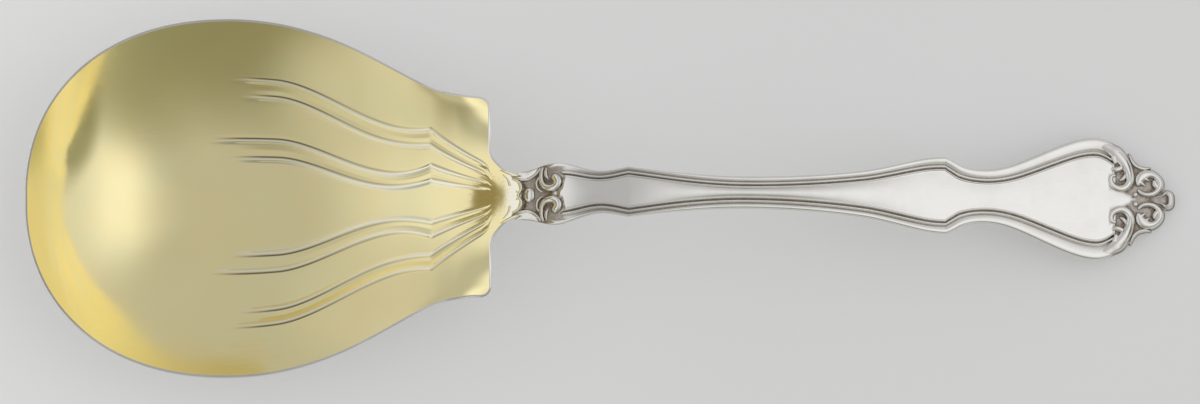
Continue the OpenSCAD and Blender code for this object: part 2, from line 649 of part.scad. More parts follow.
// Large leaf volute that ends the border on one side of the terminal
volute_line = [
    tip_place(0.17, 0.88, 0.126), tip_place(0.33, 0.73, 0.134), tip_place(0.45, 0.52, 0.117),
    tip_place(0.485, 0.35, 0.1), tip_place(0.44, 0.19, 0.092), tip_place(0.335, 0.11, 0.084),
    tip_place(0.22, 0.15, 0.075), tip_place(0.155, 0.27, 0.067), tip_place(0.2, 0.38, 0.059)];
module tip_volute(side) {
    color(silver) ribbon(flipped(volute_line, side), tip_relief);
}
module tip_volute_left() tip_volute(LEFT);
module tip_volute_right() tip_volute(RIGHT);

// Scroll behind the tip bead on one side
tip_scroll_line = [
    tip_place(0.56, 0.12, 0.075), tip_place(0.66, 0.1, 0.084), tip_place(0.76, 0.12, 0.092),
    tip_place(0.83, 0.24, 0.092), tip_place(0.815, 0.37, 0.092), tip_place(0.73, 0.46, 0.084),
    tip_place(0.63, 0.45, 0.075), tip_place(0.575, 0.36, 0.067)];
module tip_scroll(side) {
    color(silver) ribbon(flipped(tip_scroll_line, side), tip_relief);
}
module tip_scroll_left() tip_scroll(LEFT);
module tip_scroll_right() tip_scroll(RIGHT);

// Thorn leaf outside the volute on one side
thorn_line = [
    tip_place(0.42, 0.83, 0.033), tip_place(0.475, 0.67, 0.05), tip_place(0.55, 0.58, 0.05),
    tip_place(0.64, 0.545, 0.033)];
module tip_thorn(side) {
    color(worn_silver) ribbon(flipped(thorn_line, side), tip_relief * thorn_share);
}
module tip_thorn_left() tip_thorn(LEFT);
module tip_thorn_right() tip_thorn(RIGHT);

// Pearls between the volutes and the scrolls
module tip_pearls() {
    color(silver)
    for (side = [LEFT, RIGHT]) {
        place = tip_place(0.49, 0.045 * side, 0);
        button(place[0], place[1] + side * pearl_radius / 2, pearl_radius, pearl_radius);
    }
}

// Bead that ends the handle
module tip_bead() {
    color(silver) button(spoon_length - tip_bead_radius, 0, tip_bead_radius, tip_relief);
}

bowl();
bowl_gilding();
handle();
heel_solder();
heel_crest();
heel_leaf_left();
heel_leaf_right();
neck_bead();
neck_crescent_left();
neck_crescent_right();
neck_scroll_left();
neck_scroll_right();
tip_volute_left();
tip_volute_right();
tip_scroll_left();
tip_scroll_right();
tip_thorn_left();
tip_thorn_right();
tip_pearls();
tip_bead();
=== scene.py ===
"""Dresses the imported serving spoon: gilded bowl, threaded handle, ornament, floor, light and camera."""

from __future__ import annotations

import logging
import math
from collections.abc import Callable
from dataclasses import dataclass, field
from enum import Enum
from functools import cached_property

import bpy
import numpy as np
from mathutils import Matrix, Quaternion, Vector

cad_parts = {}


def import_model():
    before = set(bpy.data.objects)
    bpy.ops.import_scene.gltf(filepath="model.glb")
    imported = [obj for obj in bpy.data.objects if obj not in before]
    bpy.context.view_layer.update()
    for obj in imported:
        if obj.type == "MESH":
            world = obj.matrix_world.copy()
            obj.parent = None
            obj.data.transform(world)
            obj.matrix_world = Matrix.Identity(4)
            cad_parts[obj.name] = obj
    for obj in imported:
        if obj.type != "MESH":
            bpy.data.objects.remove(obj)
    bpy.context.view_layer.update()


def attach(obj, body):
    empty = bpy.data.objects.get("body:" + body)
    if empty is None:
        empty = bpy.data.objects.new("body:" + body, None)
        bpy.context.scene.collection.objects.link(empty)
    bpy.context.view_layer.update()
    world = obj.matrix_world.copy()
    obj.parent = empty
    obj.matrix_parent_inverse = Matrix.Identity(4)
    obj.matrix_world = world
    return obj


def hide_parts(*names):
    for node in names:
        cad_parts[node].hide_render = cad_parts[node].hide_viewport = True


LOG = logging.getLogger("spoon")
Array = np.ndarray
Section = Callable[[Array], Array]
Tone = tuple[float, float, float]
Obj = bpy.types.Object
Socket = bpy.types.NodeSocket
MM = 0.001
SPOON_LENGTH = 230.0
ROOT = "root"
TINY = 1e-9
FAR_BELOW = -9.0


def smooth(start: float, end: float, x: Array | float) -> Array:
    """Returns an eased step from 0 at start to 1 at end."""
    t = np.clip((np.asarray(x, float) - start) / (end - start), 0.0, 1.0)
    return t * t * (3.0 - 2.0 * t)


def mix(a: Array | float, b: Array | float, t: Array | float) -> Array | float:
    """Returns the value a share t of the way from a to b."""
    return a + (b - a) * t


def hump(x: Array) -> Array:
    """Returns a round hump over x from 0 to 1, and nothing past it."""
    return np.sin(math.pi * np.clip(x, 0, 1))


def between(ends: tuple[float, ...], x: Array) -> Array:
    """Returns a level that comes in over the first two ends and goes out over the last two."""
    return smooth(ends[0], ends[1], x) * (1 - smooth(ends[2], ends[3], x))


def mirrored(side: Array, sign: int = 1) -> Array:
    """Returns rows that run over both sides, from rows that start in the middle."""
    return np.concatenate([sign * side[:, :0:-1], side], axis=1)


def corners(grid: Array) -> list[Array]:
    """Returns the four corners of every cell of a grid."""
    return [grid[1:, 1:], grid[1:, :-1], grid[:-1, 1:], grid[:-1, :-1]]


def points_of(s: Array, y: Array, z: Array) -> Array:
    """Returns rows of points from their stations, distances across and heights."""
    return np.stack([s, y, z], axis=-1).reshape(-1, 3)


def stations(*marks: tuple[float, int]) -> Array:
    """Spaces stations between marks.

    Args:
        marks: pairs of a station and the number of steps that lead to it.

    Returns:
        The stations in order, with every mark among them.
    """
    runs = [np.array([marks[0][0]])]
    for (start, _), (end, steps) in zip(marks, marks[1:]):
        runs.append(np.linspace(start, end, steps + 1)[1:])
    return np.concatenate(runs)


class Curve:
    """A smooth line through knots of place, value, slope before and slope after."""

    def __init__(self, *knots: tuple[float, ...]) -> None:
        """Keeps the knots, whose last number is the slope after.

        Args:
            knots: place, value, slope before and, where it differs, slope after.
        """
        self.place = np.array([k[0] for k in knots])
        self.value = np.array([k[1] for k in knots])
        self.before = np.array([k[2] for k in knots])
        self.after = np.array([k[-1] for k in knots])

    def __call__(self, x: Array | float) -> Array:
        """Returns the line's value at x, held level past its ends.

        Args:
            x: places along the line.

        Returns:
            The values there.
        """
        x = np.clip(np.asarray(x, float), self.place[0], self.place[-1])
        i = np.clip(np.searchsorted(self.place, x, side="right") - 1, 0, len(self.place) - 2)
        reach = self.place[i + 1] - self.place[i]
        t = (x - self.place[i]) / reach
        level = self.value[i] * (2 * t**3 - 3 * t**2 + 1) + self.value[i + 1] * (3 * t**2 - 2 * t**3)
        return level + reach * (self.after[i] * (t**3 - 2 * t**2 + t) + self.before[i + 1] * (t**3 - t**2))


class Side(Enum):
    """Side of the spoon for a person who looks along it from the bowl."""

    LEFT = 1
    RIGHT = -1


class Bench:
    """Bench tools: the few mesh operators that all pieces are made with."""

    MERGE = 1e-6
    WALL = 0.1

    @staticmethod
    def clear() -> None:
        """Leaves edit mode and deselects everything."""
        if bpy.context.object and bpy.context.object.mode != "OBJECT":
            bpy.ops.object.mode_set(mode="OBJECT")
        bpy.ops.object.select_all(action="DESELECT")

    @staticmethod
    def pick(*objects: Obj) -> None:
        """Selects only these objects and makes the first one active.

        Args:
            objects: the objects, with the one that becomes active first.
        """
        Bench.clear()
        for obj in objects:
            obj.select_set(True)
        bpy.context.view_layer.objects.active = objects[0]

    @staticmethod
    def grid(name: str, rows: int, columns: int, keep: Array | None = None) -> tuple[Obj, Array]:
        """Adds a sheet of cells and cuts away the cells that aren't kept.

        Args:
            name: name of the new object.
            rows: number of cells from the first row to the last.
            columns: number of cells in a row.
            keep: rows by columns of True for the cells that stay, or None for all.

        Returns:
            The object, and for each of its vertices the number that it had on the whole sheet.
        """
        Bench.clear()
        bpy.ops.mesh.primitive_grid_add(x_subdivisions=columns, y_subdivisions=rows, size=1.0)
        obj = bpy.context.object
        obj.name = name
        obj.data.name = name
        mesh = obj.data
        numbers = mesh.attributes.new("number", "INT", "POINT")
        numbers.data.foreach_set("value", np.arange(len(mesh.vertices), dtype=np.int32))
        if keep is not None:
            bpy.context.tool_settings.mesh_select_mode = (False, False, True)
            bpy.ops.object.mode_set(mode="EDIT")
            bpy.ops.mesh.select_all(action="DESELECT")
            bpy.ops.object.mode_set(mode="OBJECT")
            mesh.polygons.foreach_set("select", ~keep.ravel())
            bpy.ops.object.mode_set(mode="EDIT")
            bpy.ops.mesh.delete(type="FACE")
            bpy.ops.object.mode_set(mode="OBJECT")
        kept = np.empty(len(mesh.vertices), dtype=np.int32)
        mesh.attributes["number"].data.foreach_get("value", kept)
        mesh.attributes.remove(mesh.attributes["number"])
        return obj, kept

    @staticmethod
    def place(obj: Obj, points: Array) -> None:
        """Moves the vertices to points given in millimetres from the tip of the bowl.

        Args:
            obj: the object to lay out.
            points: rows of a station, a distance across and a height.
        """
        metres = np.array(points, float)
        metres[:, 0] -= SPOON_LENGTH / 2
        obj.data.vertices.foreach_set("co", (metres * MM).astype(np.float32).ravel())
        obj.data.update()

    @staticmethod
    def slab(name: str, s: Array, y: Array, layers: tuple[Array, Array],
             keep: Array | None = None) -> tuple[Obj, Array]:
        """Makes a closed piece between two layers of heights over one grid.

        Args:
            name: name of the new object.
            s: stations of the grid points.
            y: their distances from the middle.
            layers: heights of the upper and of the lower layer.
            keep: True for the cells that stay, or None for all.

        Returns:
            The object, and for each vertex of a layer the number that it had on the whole grid.
        """
        obj, kept = Bench.grid(name, s.shape[0] - 1, s.shape[1] - 1, keep)
        Bench.pick(obj)
        wall = obj.modifiers.new("wall", "SOLIDIFY")
        wall.thickness = Bench.WALL
        bpy.ops.object.modifier_apply(modifier=wall.name)
        Bench.place(obj, np.concatenate([points_of(s, y, z)[kept] for z in layers]))
        return obj, kept

    @staticmethod
    def join(name: str, *objects: Obj) -> Obj:
        """Joins sheets that share their edges into one closed piece.

        Args:
            name: name of the joined piece.
            objects: the sheets.

        Returns:
            The joined object.
        """
        Bench.pick(*objects)
        bpy.ops.object.join()
        obj = bpy.context.object
        obj.name = name
        obj.data.name = name
        return obj

    @staticmethod
    def finish(obj: Obj, angle: float = 55.0) -> None:
        """Merges doubles, points the faces outwards and smooths all but the edges past an angle.

        Args:
            obj: the piece.
            angle: angle in degrees past which an edge stays sharp.
        """
        Bench.pick(obj)
        bpy.ops.object.mode_set(mode="EDIT")
        bpy.ops.mesh.select_all(action="SELECT")
        bpy.ops.mesh.remove_doubles(threshold=Bench.MERGE)
        bpy.ops.mesh.normals_make_consistent(inside=False)
        bpy.ops.object.mode_set(mode="OBJECT")
        bpy.ops.object.shade_smooth_by_angle(angle=math.radians(angle))
        obj.select_set(False)

    @staticmethod
    def mark(obj: Obj, name: str, share: Array, under: float = 0.0) -> None:
        """Writes a named share on the upper layer of a slab, and a part of it on the lower one."""
        layer = obj.data.attributes.new(name, "FLOAT", "POINT")
        layer.data.foreach_set("value", np.concatenate([share, share * under]).astype(np.float32))


@dataclass(frozen=True)
class BowlForm:
    """Form of the bowl in millimetres, with stations from its tip."""

    length: float = 93.0
    front: float = 40.5
    width: float = 72.0
    squareness: float = 2.2
    shoulder_width: float = 40.4
    shoulder_radius: float = 2.4
    depth: float = 17.0
    sheet: float = 1.0
    rim_edge: float = 0.8
    rim_land: float = 0.5
    rim_tilt: float = 0.2
    rim_sweep: float = 1200.0
    shoulder_drop: float = 0.8
    roll_reach: float = 2.4
    heel_reach: float = 4.0
    shoulder_reach: float = 7.0
    belly_wear_and_sheen: float = 0.15
    belly_search: tuple[float, float, int] = (0.5, 1.5, 161)
    gilding: float = 0.12
    rib_height: float = 0.32
    rib_width: float = 1.5
    flute_sink: float = 0.15
    flute_open: float = 50.0
    flute_waist: float = 20.0
    flute_kink: float = 12.0
    rib_fade: float = 8.0
    heel_fade: float = 2.5
    tongue_length: float = 6.2
    tongue_root: float = 18.4
    tongue_width: float = 9.2
    tongue_power: float = 1.6
    neck_crown: float = 0.5
    neck_width: float = 9.6
    side_share: float = 1.0
    flank_share: float = 1.75
    heel_share: float = 1.4
    tip_share: float = 0.1
    round_power: float = 2.0
    wall_power: float = 3.0
    tip_power: float = 4.0
    flank_middle: float = 66.0
    ribs: tuple[tuple[float, ...], ...] = (
        (0.27, 0.127, 0.195, 0.085, 0.988),
        (0.371, 0.226, 0.328, 0.144, 0.889),
        (0.605, 0.46, 0.507, 0.226, 1.037),
        (0.695, 0.572, 0.643, 0.311, 0.988),
    )

    @property
    def heel(self) -> float:
        """Station of the heel edge."""
        return self.length

    @property
    def tongue_end(self) -> float:
        """Station of the end of the tongue."""
        return self.length + self.tongue_length

    @property
    def corner(self) -> float:
        """Station where the corners of the shoulders start."""
        return self.length - self.shoulder_radius

    @property
    def kink(self) -> float:
        """Station of the kink in the flutes."""
        return self.length - self.flute_kink

    @cached_property
    def flank_curve(self) -> Curve:
        """Share of the narrowing from the widest point to the shoulders."""
        return Curve((0, 0, 0), (0.45, 0.3, 1.35), (0.69, 0.69, 1.75), (0.81, 0.885, 1.4),
                     (0.93, 0.98, 0.5), (1, 1, 0.1))

    @cached_property
    def floor_curve(self) -> Curve:
        """Share of the depth from the widest point to the end of the tongue."""
        bend = (self.kink - self.front) / (self.tongue_end - self.front)
        return Curve((0, 1, 0), (0.2, 0.975, -0.28), (0.366, 0.9, -0.65), (0.588, 0.7, -1.1),
                     (bend, 0.58, -1.35), (0.86, 0.285, -2.3), (0.92, 0.15, -2.1), (0.963, 0.065, -1.7),
                     (1, 0.005, -1.1))

    def flank(self, s: Array | float) -> Array:
        """Returns the half width of the flank behind the widest point."""
        share = self.flank_curve((np.asarray(s, float) - self.front) / (self.corner - self.front))
        return self.width / 2 - (self.width - self.shoulder_width) / 2 * share

    def tongue_half(self, s: Array | float) -> Array:
        """Returns the half width of the tongue, a hollow fillet from the heel edge to its end.

        Args:
            s: stations.

        Returns:
            The half widths.
        """
        t = np.clip((np.asarray(s, float) - self.heel) / self.tongue_length, 0, 1)
        share = (1 - (1 - t) ** self.tongue_power) ** (1 / self.tongue_power)
        return self.tongue_root / 2 - (self.tongue_root - self.tongue_width) / 2 * share

    def rim_climb(self, s: Array) -> Array:
        """Returns the height of the rim above its level at the widest point."""
        run = s - self.front
        return math.tan(math.radians(self.rim_tilt)) * run + run**2 / (2 * self.rim_sweep)

    def place(self, s: Array, y: Array, inset: float) -> tuple[Array, Array]:
        """Finds a point's place in the hollow.

        Args:
            s: stations.
            y: distances from the middle.
            inset: how far the outline is set in.

        Returns:
            The place from 0 in the middle to 1 on the outline, and how far it lies towards the tip.
        """
        ahead = np.clip((self.front - s) / (self.front - inset), 0, None)
        aside = np.abs(y) / (np.where(s < self.front, self.width / 2, self.flank(s)) - inset)
        power = self.squareness
        q = np.where(ahead > 0, (ahead**power + aside**power) ** (1 / power), aside)
        lead = ahead**2 / np.maximum(ahead**2 + aside**2, TINY)
        return np.minimum(q, 1.0), lead * lead * (3 - 2 * lead)

    def dish(self, s: Array, q: Array, lead: Array) -> Array:
        """Returns the share of the depth left at a place in the hollow.

        Args:
            s: stations.
            q: places from 0 in the middle to 1 on the outline.
            lead: how far the places lie towards the tip.

        Returns:
            The shares of the depth.
        """
        back = smooth(self.front, self.flank_middle, s)
        near = smooth(self.flank_middle, self.heel, s)
        share = mix(mix(self.side_share, self.flank_share, back), self.heel_share, near)
        side = 1 - share * q**self.round_power - (1 - share) * q**self.wall_power
        tip = 1 - self.tip_share * q**self.round_power - (1 - self.tip_share) * q**self.tip_power
        return mix(side, tip, lead)

    def hollow_depth(self, s: Array) -> Array:
        """Returns the depth of the hollow along the spoon."""
        return self.depth * self.floor_curve((s - self.front) / (self.tongue_end - self.front))

    def edge_roll(self, s: Array, y: Array) -> Array:
        """Returns how far the edges of the shoulders roll down.

        Args:
            s: stations.
            y: distances from the middle.

        Returns:
            How far the surface is lowered.
        """
        inside = np.maximum(0, self.flank(s) - np.abs(y))
        grown = smooth(self.kink - self.heel_reach, self.kink + self.heel_reach, s)
        return self.shoulder_drop * grown * np.maximum(0, 1 - inside / self.roll_reach) ** 2

    @cached_property
    def neck_growth(self) -> Curve:
        """Growth of the round from the shoulders to the end of the tongue."""
        return Curve((self.heel - self.shoulder_reach, 0, 0), (self.heel, 0.34, 0.68 / self.shoulder_reach),
                     (self.tongue_end, 1, 0))

    def neck_round(self, s: Array, y: Array) -> Array:
        """Returns the round across the shoulders and the tongue."""
        return self.neck_crown * self.neck_growth(s) * (2 * y / self.neck_width) ** 2

    def outside_form(self, s: Array, y: Array) -> Array:
        """Returns the outside before it is lifted onto the table.

        Args:
            s: stations.
            y: distances from the middle.

        Returns:
            The heights from the level of the rim.
        """
        q, lead = self.place(s, y, 0)
        body = (self.hollow_depth(s) + self.sheet - self.rim_edge) * self.dish(s, q, lead)
        return self.rim_climb(s) - self.rim_edge - body - self.edge_roll(s, y) - self.neck_round(s, y)

    @cached_property
    def rim_level(self) -> float:
        """Lift that leaves the worn flat of the belly on the table."""
        near, far, count = self.belly_search
        s = np.linspace(self.front * near, self.front * far, count)
        return float(-self.outside_form(s, np.zeros_like(s)).min() - self.belly_wear_and_sheen)

    def rim_top(self, s: Array, y: Array) -> Array:
        """Returns the height of the rim."""
        return self.rim_level + self.rim_climb(s) - self.edge_roll(s, y) - self.neck_round(s, y)

    def inside(self, s: Array, y: Array) -> Array:
        """Returns the height of the gilded inside without its ribs."""
        q, lead = self.place(s, y, self.rim_land)
        return self.rim_top(s, y) - self.hollow_depth(s) * self.dish(s, q, lead)

    def outside(self, s: Array, y: Array) -> Array:
        """Returns the height of the outside."""
        return self.rim_level + self.outside_form(s, y)

    def rib_share(self, rib: int, s: Array) -> Array:
        """Returns the share of the half width at which a rib runs.

        Args:
            rib: number of the rib, from the middle outwards.
            s: stations.

        Returns:
            The shares.
        """
        belly, waist, kink, heel, _ = self.ribs[rib]
        low = self.heel - self.flute_waist
        drawn = mix(belly, waist, smooth(self.flute_open, low, s))
        spread = mix(waist, kink, np.clip((s - low) / (self.kink - low), 0, 1) ** 2)
        fan = mix(kink, heel, np.clip((s - self.kink) / (self.heel - self.kink), 0, 1))
        return np.where(s < low, drawn, np.where(s < self.kink, spread, fan))

    def rib_shown(self, rib: int, s: Array) -> Array:
        """Returns how much of a rib stands at a station."""
        start = self.ribs[rib][4] * self.front
        return between((start, start + self.rib_fade, self.heel - self.heel_fade, self.heel), s)


class BowlGrid:
    """Rows across the bowl and columns along its ribs, on an outline that can be set in."""

    FRONT_ANGLES = (3.1, 88.5, 59)
    SIDE_STEPS = (80, 24)
    CORNER_ANGLES = (10, 90, 9)
    TONGUE_STEPS = 18
    RAIL_STEPS = (10, 12, 6, 12, 9, 12, 6, 12, 8, 16)
    RIBS = (1, 3, 5, 7)
    FLUTES = (2, 6)
    FOOT_SHARE = 0.3
    # Across each rib: where the bare silver on the crest sits, worn gilding that is also a painted highlight.
    WORN_AT, WORN_REACH = 0.36, 0.26
    TONGUE_WORN, TONGUE_FADE = 0.7, (94.5, 97.5)
    # Across each rib and along the bowl: where the painted shade at the outer foot sits and how it fades.
    DARK_AT, DARK_REACH, DARK_LEFT, DARK_FADE = 0.84, 0.14, 0.3, (54.0, 68.0)
    WALL_COLUMN = 0.8
    SCALLOP = Curve((0, 0.75, 0), (0.25, 0.12, 0), (0.55, 0.55, 1.5), (0.72, 1.6, 4), (1, 2.2, 0))

    def __init__(self, form: BowlForm) -> None:
        """Lays out the rows and columns.

        Args:
            form: the form of the bowl.
        """
        self.form = form
        to_kink, to_corner = self.SIDE_STEPS
        self.front_angles = np.radians(np.linspace(*self.FRONT_ANGLES))
        self.sides = stations((form.front, 0), (form.kink, to_kink), (form.corner, to_corner))
        self.corner_angles = np.radians(np.linspace(*self.CORNER_ANGLES))
        self.tongue_rows = np.linspace(0, 1, self.TONGUE_STEPS + 1)[1:]
        self.heel_row = len(self.front_angles) + len(self.sides) + len(self.corner_angles) - 1
        self.rows = self.heel_row + len(self.tongue_rows)
        self.rim_column = sum(self.RAIL_STEPS)
        self.tongue_column = sum(self.RAIL_STEPS[:-1])

    @cached_property
    def keep(self) -> Array:
        """Cells of the whole sheet that belong to the bowl or its tongue."""
        row = np.arange(self.rows)[:, None]
        column = np.arange(-self.rim_column, self.rim_column)[None, :]
        on_tongue = (column >= -self.tongue_column) & (column < self.tongue_column)
        return (row < self.heel_row) | on_tongue

    def outline(self, inset: float) -> tuple[Array, Array]:
        """Returns the station and half width of each row on the outline set in by inset.

        Args:
            inset: how far the outline is set in.

        Returns:
            The stations and the half widths.
        """
        f = self.form
        a, c = self.front_angles, self.corner_angles
        front_half = (f.width / 2 - inset) * (1 - np.cos(a) ** f.squareness) ** (1 / f.squareness)
        bend = f.shoulder_radius - inset
        tongue = f.heel - inset + f.tongue_length * self.tongue_rows
        nose = f.front - (f.front - inset) * np.cos(a)
        s = np.concatenate([nose, self.sides, f.corner + bend * np.sin(c), tongue])
        half = np.concatenate([front_half, f.flank(self.sides) - inset,
                               f.flank(f.corner) - f.shoulder_radius + bend * np.cos(c),
                               f.tongue_half(tongue + inset) - inset * self.tongue_rows])
        return s, half

    def shares(self, s: Array, half: Array) -> Array:
        """Returns each row's columns on one side, as shares of its half width.

        Args:
            s: stations.
            half: half widths of the rows.

        Returns:
            Rows of shares, from 0 to 1 on the outline.
        """
        f = self.form
        heel_half = f.flank(f.corner) - f.shoulder_radius
        rails = [np.zeros_like(s)]
        for rib in range(len(f.ribs)):
            inner = rib - rib % 2
            apart = f.rib_share(inner + 1, s) - f.rib_share(inner, s)
            foot = np.minimum(f.rib_width / 2 / half, self.FOOT_SHARE * apart)
            rails += [f.rib_share(rib, s) - foot, f.rib_share(rib, s) + foot]
        grown = smooth(f.kink - 2 * f.heel_reach, f.heel, s)
        root = mix(self.WALL_COLUMN, f.tongue_root / 2 / heel_half, grown)
        rails += [root, np.ones_like(s)]
        parts = []
        for a, b, steps in zip(rails, rails[1:], self.RAIL_STEPS):
            t = np.arange(steps) / steps
            parts.append(a[:, None] + (b - a)[:, None] * t)
        return np.concatenate(parts + [np.ones((len(s), 1))], axis=1)

    def along_ribs(self, rib_section: Section, flute_section: Section) -> Array:
        """Spreads two sections over the whole sheet.

        Args:
            rib_section: level across a rib, from 0 at its inner foot to 1 at its outer foot.
            flute_section: level across the flute between a pair of ribs.

        Returns:
            The level at every grid point, 0 where there is no rib.
        """
        f = self.form
        s, _ = self.outline(f.rim_land)
        parts = []
        for interval, steps in enumerate(self.RAIL_STEPS):
            t = np.arange(steps) / steps
            shown = np.zeros_like(s)
            if interval in self.RIBS:
                shown = f.rib_shown(interval // 2, s)
            elif interval in self.FLUTES:
                shown = f.rib_shown(interval // 2, s) * f.rib_shown(interval // 2 - 1, s)
            section = flute_section if interval in self.FLUTES else rib_section
            parts.append(shown[:, None] * section(t))
        return mirrored(np.concatenate(parts + [np.zeros((len(s), 1))], axis=1))

    @cached_property
    def lift(self) -> Array:
        """Height of the ribs and sink of the flutes between each pair, over the whole sheet."""
        f = self.form
        return self.along_ribs(lambda t: f.rib_height * hump(t) ** 2, lambda t: -f.flute_sink * hump(t) ** 2)

    @cached_property
    def wear_and_sheen(self) -> Array:
        """Share of bare silver: worn gilding on the tongue, and on the inner side of the ribs' crests worn
        gilding that is also a painted highlight.
        """
        s, _ = self.spots(self.form.rim_land)
        # The bare silver on the crests is worn gilding and also a painted highlight.
        crest = self.along_ribs(lambda t: np.exp(-((t - self.WORN_AT) / self.WORN_REACH) ** 2), np.zeros_like)
        return np.maximum(crest, self.TONGUE_WORN * smooth(*self.TONGUE_FADE, s))

    @cached_property
    def tarnish(self) -> Array:
        """Share of painted shade, a dark line along the outer foot of the ribs, strongest near their starts.
        """
        s, _ = self.spots(self.form.rim_land)
        # Painted shade: a dark line in the crease at each rib's outer foot.
        foot = self.along_ribs(lambda t: np.exp(-((t - self.DARK_AT) / self.DARK_REACH) ** 2), np.zeros_like)
        return foot * mix(1.0, self.DARK_LEFT, smooth(*self.DARK_FADE, s))

    def spots(self, inset: float) -> tuple[Array, Array]:
        """Returns the station and the distance from the middle of every grid point.

        Args:
            inset: how far the outline is set in.

        Returns:
            The stations and the distances from the middle.
        """
        f = self.form
        s, half = self.outline(inset)
        share = self.shares(s, half)
        at_heel = share[self.heel_row]
        share[self.heel_row + 1:] = np.minimum(1, at_heel / at_heel[self.tongue_column])
        y = mirrored(share * half[:, None], -1)
        s = np.repeat(s[:, None], y.shape[1], axis=1)
        along = np.clip((s - f.heel) / f.tongue_length, 0, 1)
        across = np.abs(y) / (f.tongue_width / 2)
        return s - along**2 * self.SCALLOP(across), y

    def loop(self) -> Array:
        """Returns the grid places around the edge, in order, with the first one again at the end.

        Returns:
            Pairs of a row and a column.
        """
        n, m, h, rows = self.rim_column, self.tongue_column, self.heel_row, self.rows
        edge = [(i, -n) for i in range(h)] + [(h, j) for j in range(-n, -m)]
        edge += [(i, -m) for i in range(h, rows)] + [(rows, j) for j in range(-m, m)]
        edge += [(i, m) for i in range(rows, h, -1)] + [(h, j) for j in range(m, n)]
        edge += [(i, n) for i in range(h, 0, -1)] + [(0, j) for j in range(n, -n, -1)]
        edge.append(edge[0])
        return np.array([(i, j + n) for i, j in edge])


@dataclass
class Bowl:
    """The struck bowl and its gold lining."""

    form: BowlForm
    grid: BowlGrid
    back_share: float = 0.5
    back_start: float = 1.2
    edge_round: float = 0.16
    edge_bend: tuple[float, ...] = (90, 67.5, 45, 22.5, 0)
    land_rise: float = 0.02
    pieces: list[Obj] = field(default_factory=list)

    def sheet(self, name: str, s: Array, y: Array, z: Array) -> Obj:
        """Returns one surface of the bowl, laid on the grid's points.

        Args:
            name: name of the new object.
            s: stations.
            y: distances from the middle.
            z: heights.

        Returns:
            The open sheet.
        """
        obj, kept = Bench.grid(name, self.grid.rows, 2 * self.grid.rim_column, self.grid.keep)
        Bench.place(obj, points_of(s, y, z)[kept])
        return obj

    def rim(self) -> Obj:
        """Returns the bare rim, from the edge of the gilding over a rounded edge to the outside.

        Returns:
            The open band.
        """
        f, r = self.form, self.edge_round
        loop = self.grid.loop()
        bend = np.radians(self.edge_bend)
        steps = [(f.rim_land, None, 0.0)]
        steps += [(f.rim_land, 0.0, 0.0), (mix(f.rim_land, r, 0.5), 0.0, self.land_rise)]
        steps += [(r - r * math.cos(a), 0.0, r * (math.sin(a) - 1)) for a in bend]
        steps += [(0.0, 1.0, r), (0.0, 1.0, 0.0)]
        rings = []
        for inset, below, lift in steps:
            s, y = (v[loop[:, 0], loop[:, 1]] for v in self.grid.spots(inset))
            top = f.inside(s, y) if inset == f.rim_land else f.outside(s, y) + f.rim_edge
            if below is None:
                z = f.inside(s, y) - f.gilding
            else:
                z = mix(top, f.outside(s, y), below) + lift
            rings.append(points_of(s, y, z))
        obj, _ = Bench.grid("rim", len(loop) - 1, len(steps) - 1)
        Bench.place(obj, np.stack(rings, axis=1).reshape(-1, 3))
        return obj

    def build(self) -> None:
        """Makes the bowl and its gold lining."""
        f, g = self.form, self.grid
        s, y = g.spots(f.rim_land)
        gold = f.inside(s, y) + g.lift
        seat = self.sheet("seat", s, y, gold - f.gilding)
        out_s, out_y = g.spots(0.0)
        plain = f.outside(out_s, out_y)
        back = np.maximum(plain + self.back_share * g.lift * smooth(0, self.back_start, plain), 0.0)
        edge = tuple(g.loop().T)
        back[edge] = plain[edge]
        under = self.sheet("under", out_s, out_y, back)
        bowl = Bench.join("bowl_struck", seat, under, self.rim())
        Bench.finish(bowl)
        lining, kept = Bench.slab("bowl_lining", s, y, (gold, gold - f.gilding), g.keep)
        # The first share is worn gilding, which on the inner side of the ribs' crests is also a painted
        # highlight; the second is painted shade along the ribs' outer feet.
        for name, share in (("wear_and_sheen", g.wear_and_sheen), ("tarnish", g.tarnish)):
            Bench.mark(lining, name, share.ravel()[kept], under=1.0)
        Bench.finish(lining)
        self.pieces = [bowl, lining]

    def dress(self, silver: Silver, gold: Gold) -> None:
        """Gives the bowl its finishes and its place on the frame."""
        for obj, finish, node in zip(self.pieces, (silver, gold), ("bowl", "bowl_gilding")):
            hand_over(obj, finish, node)


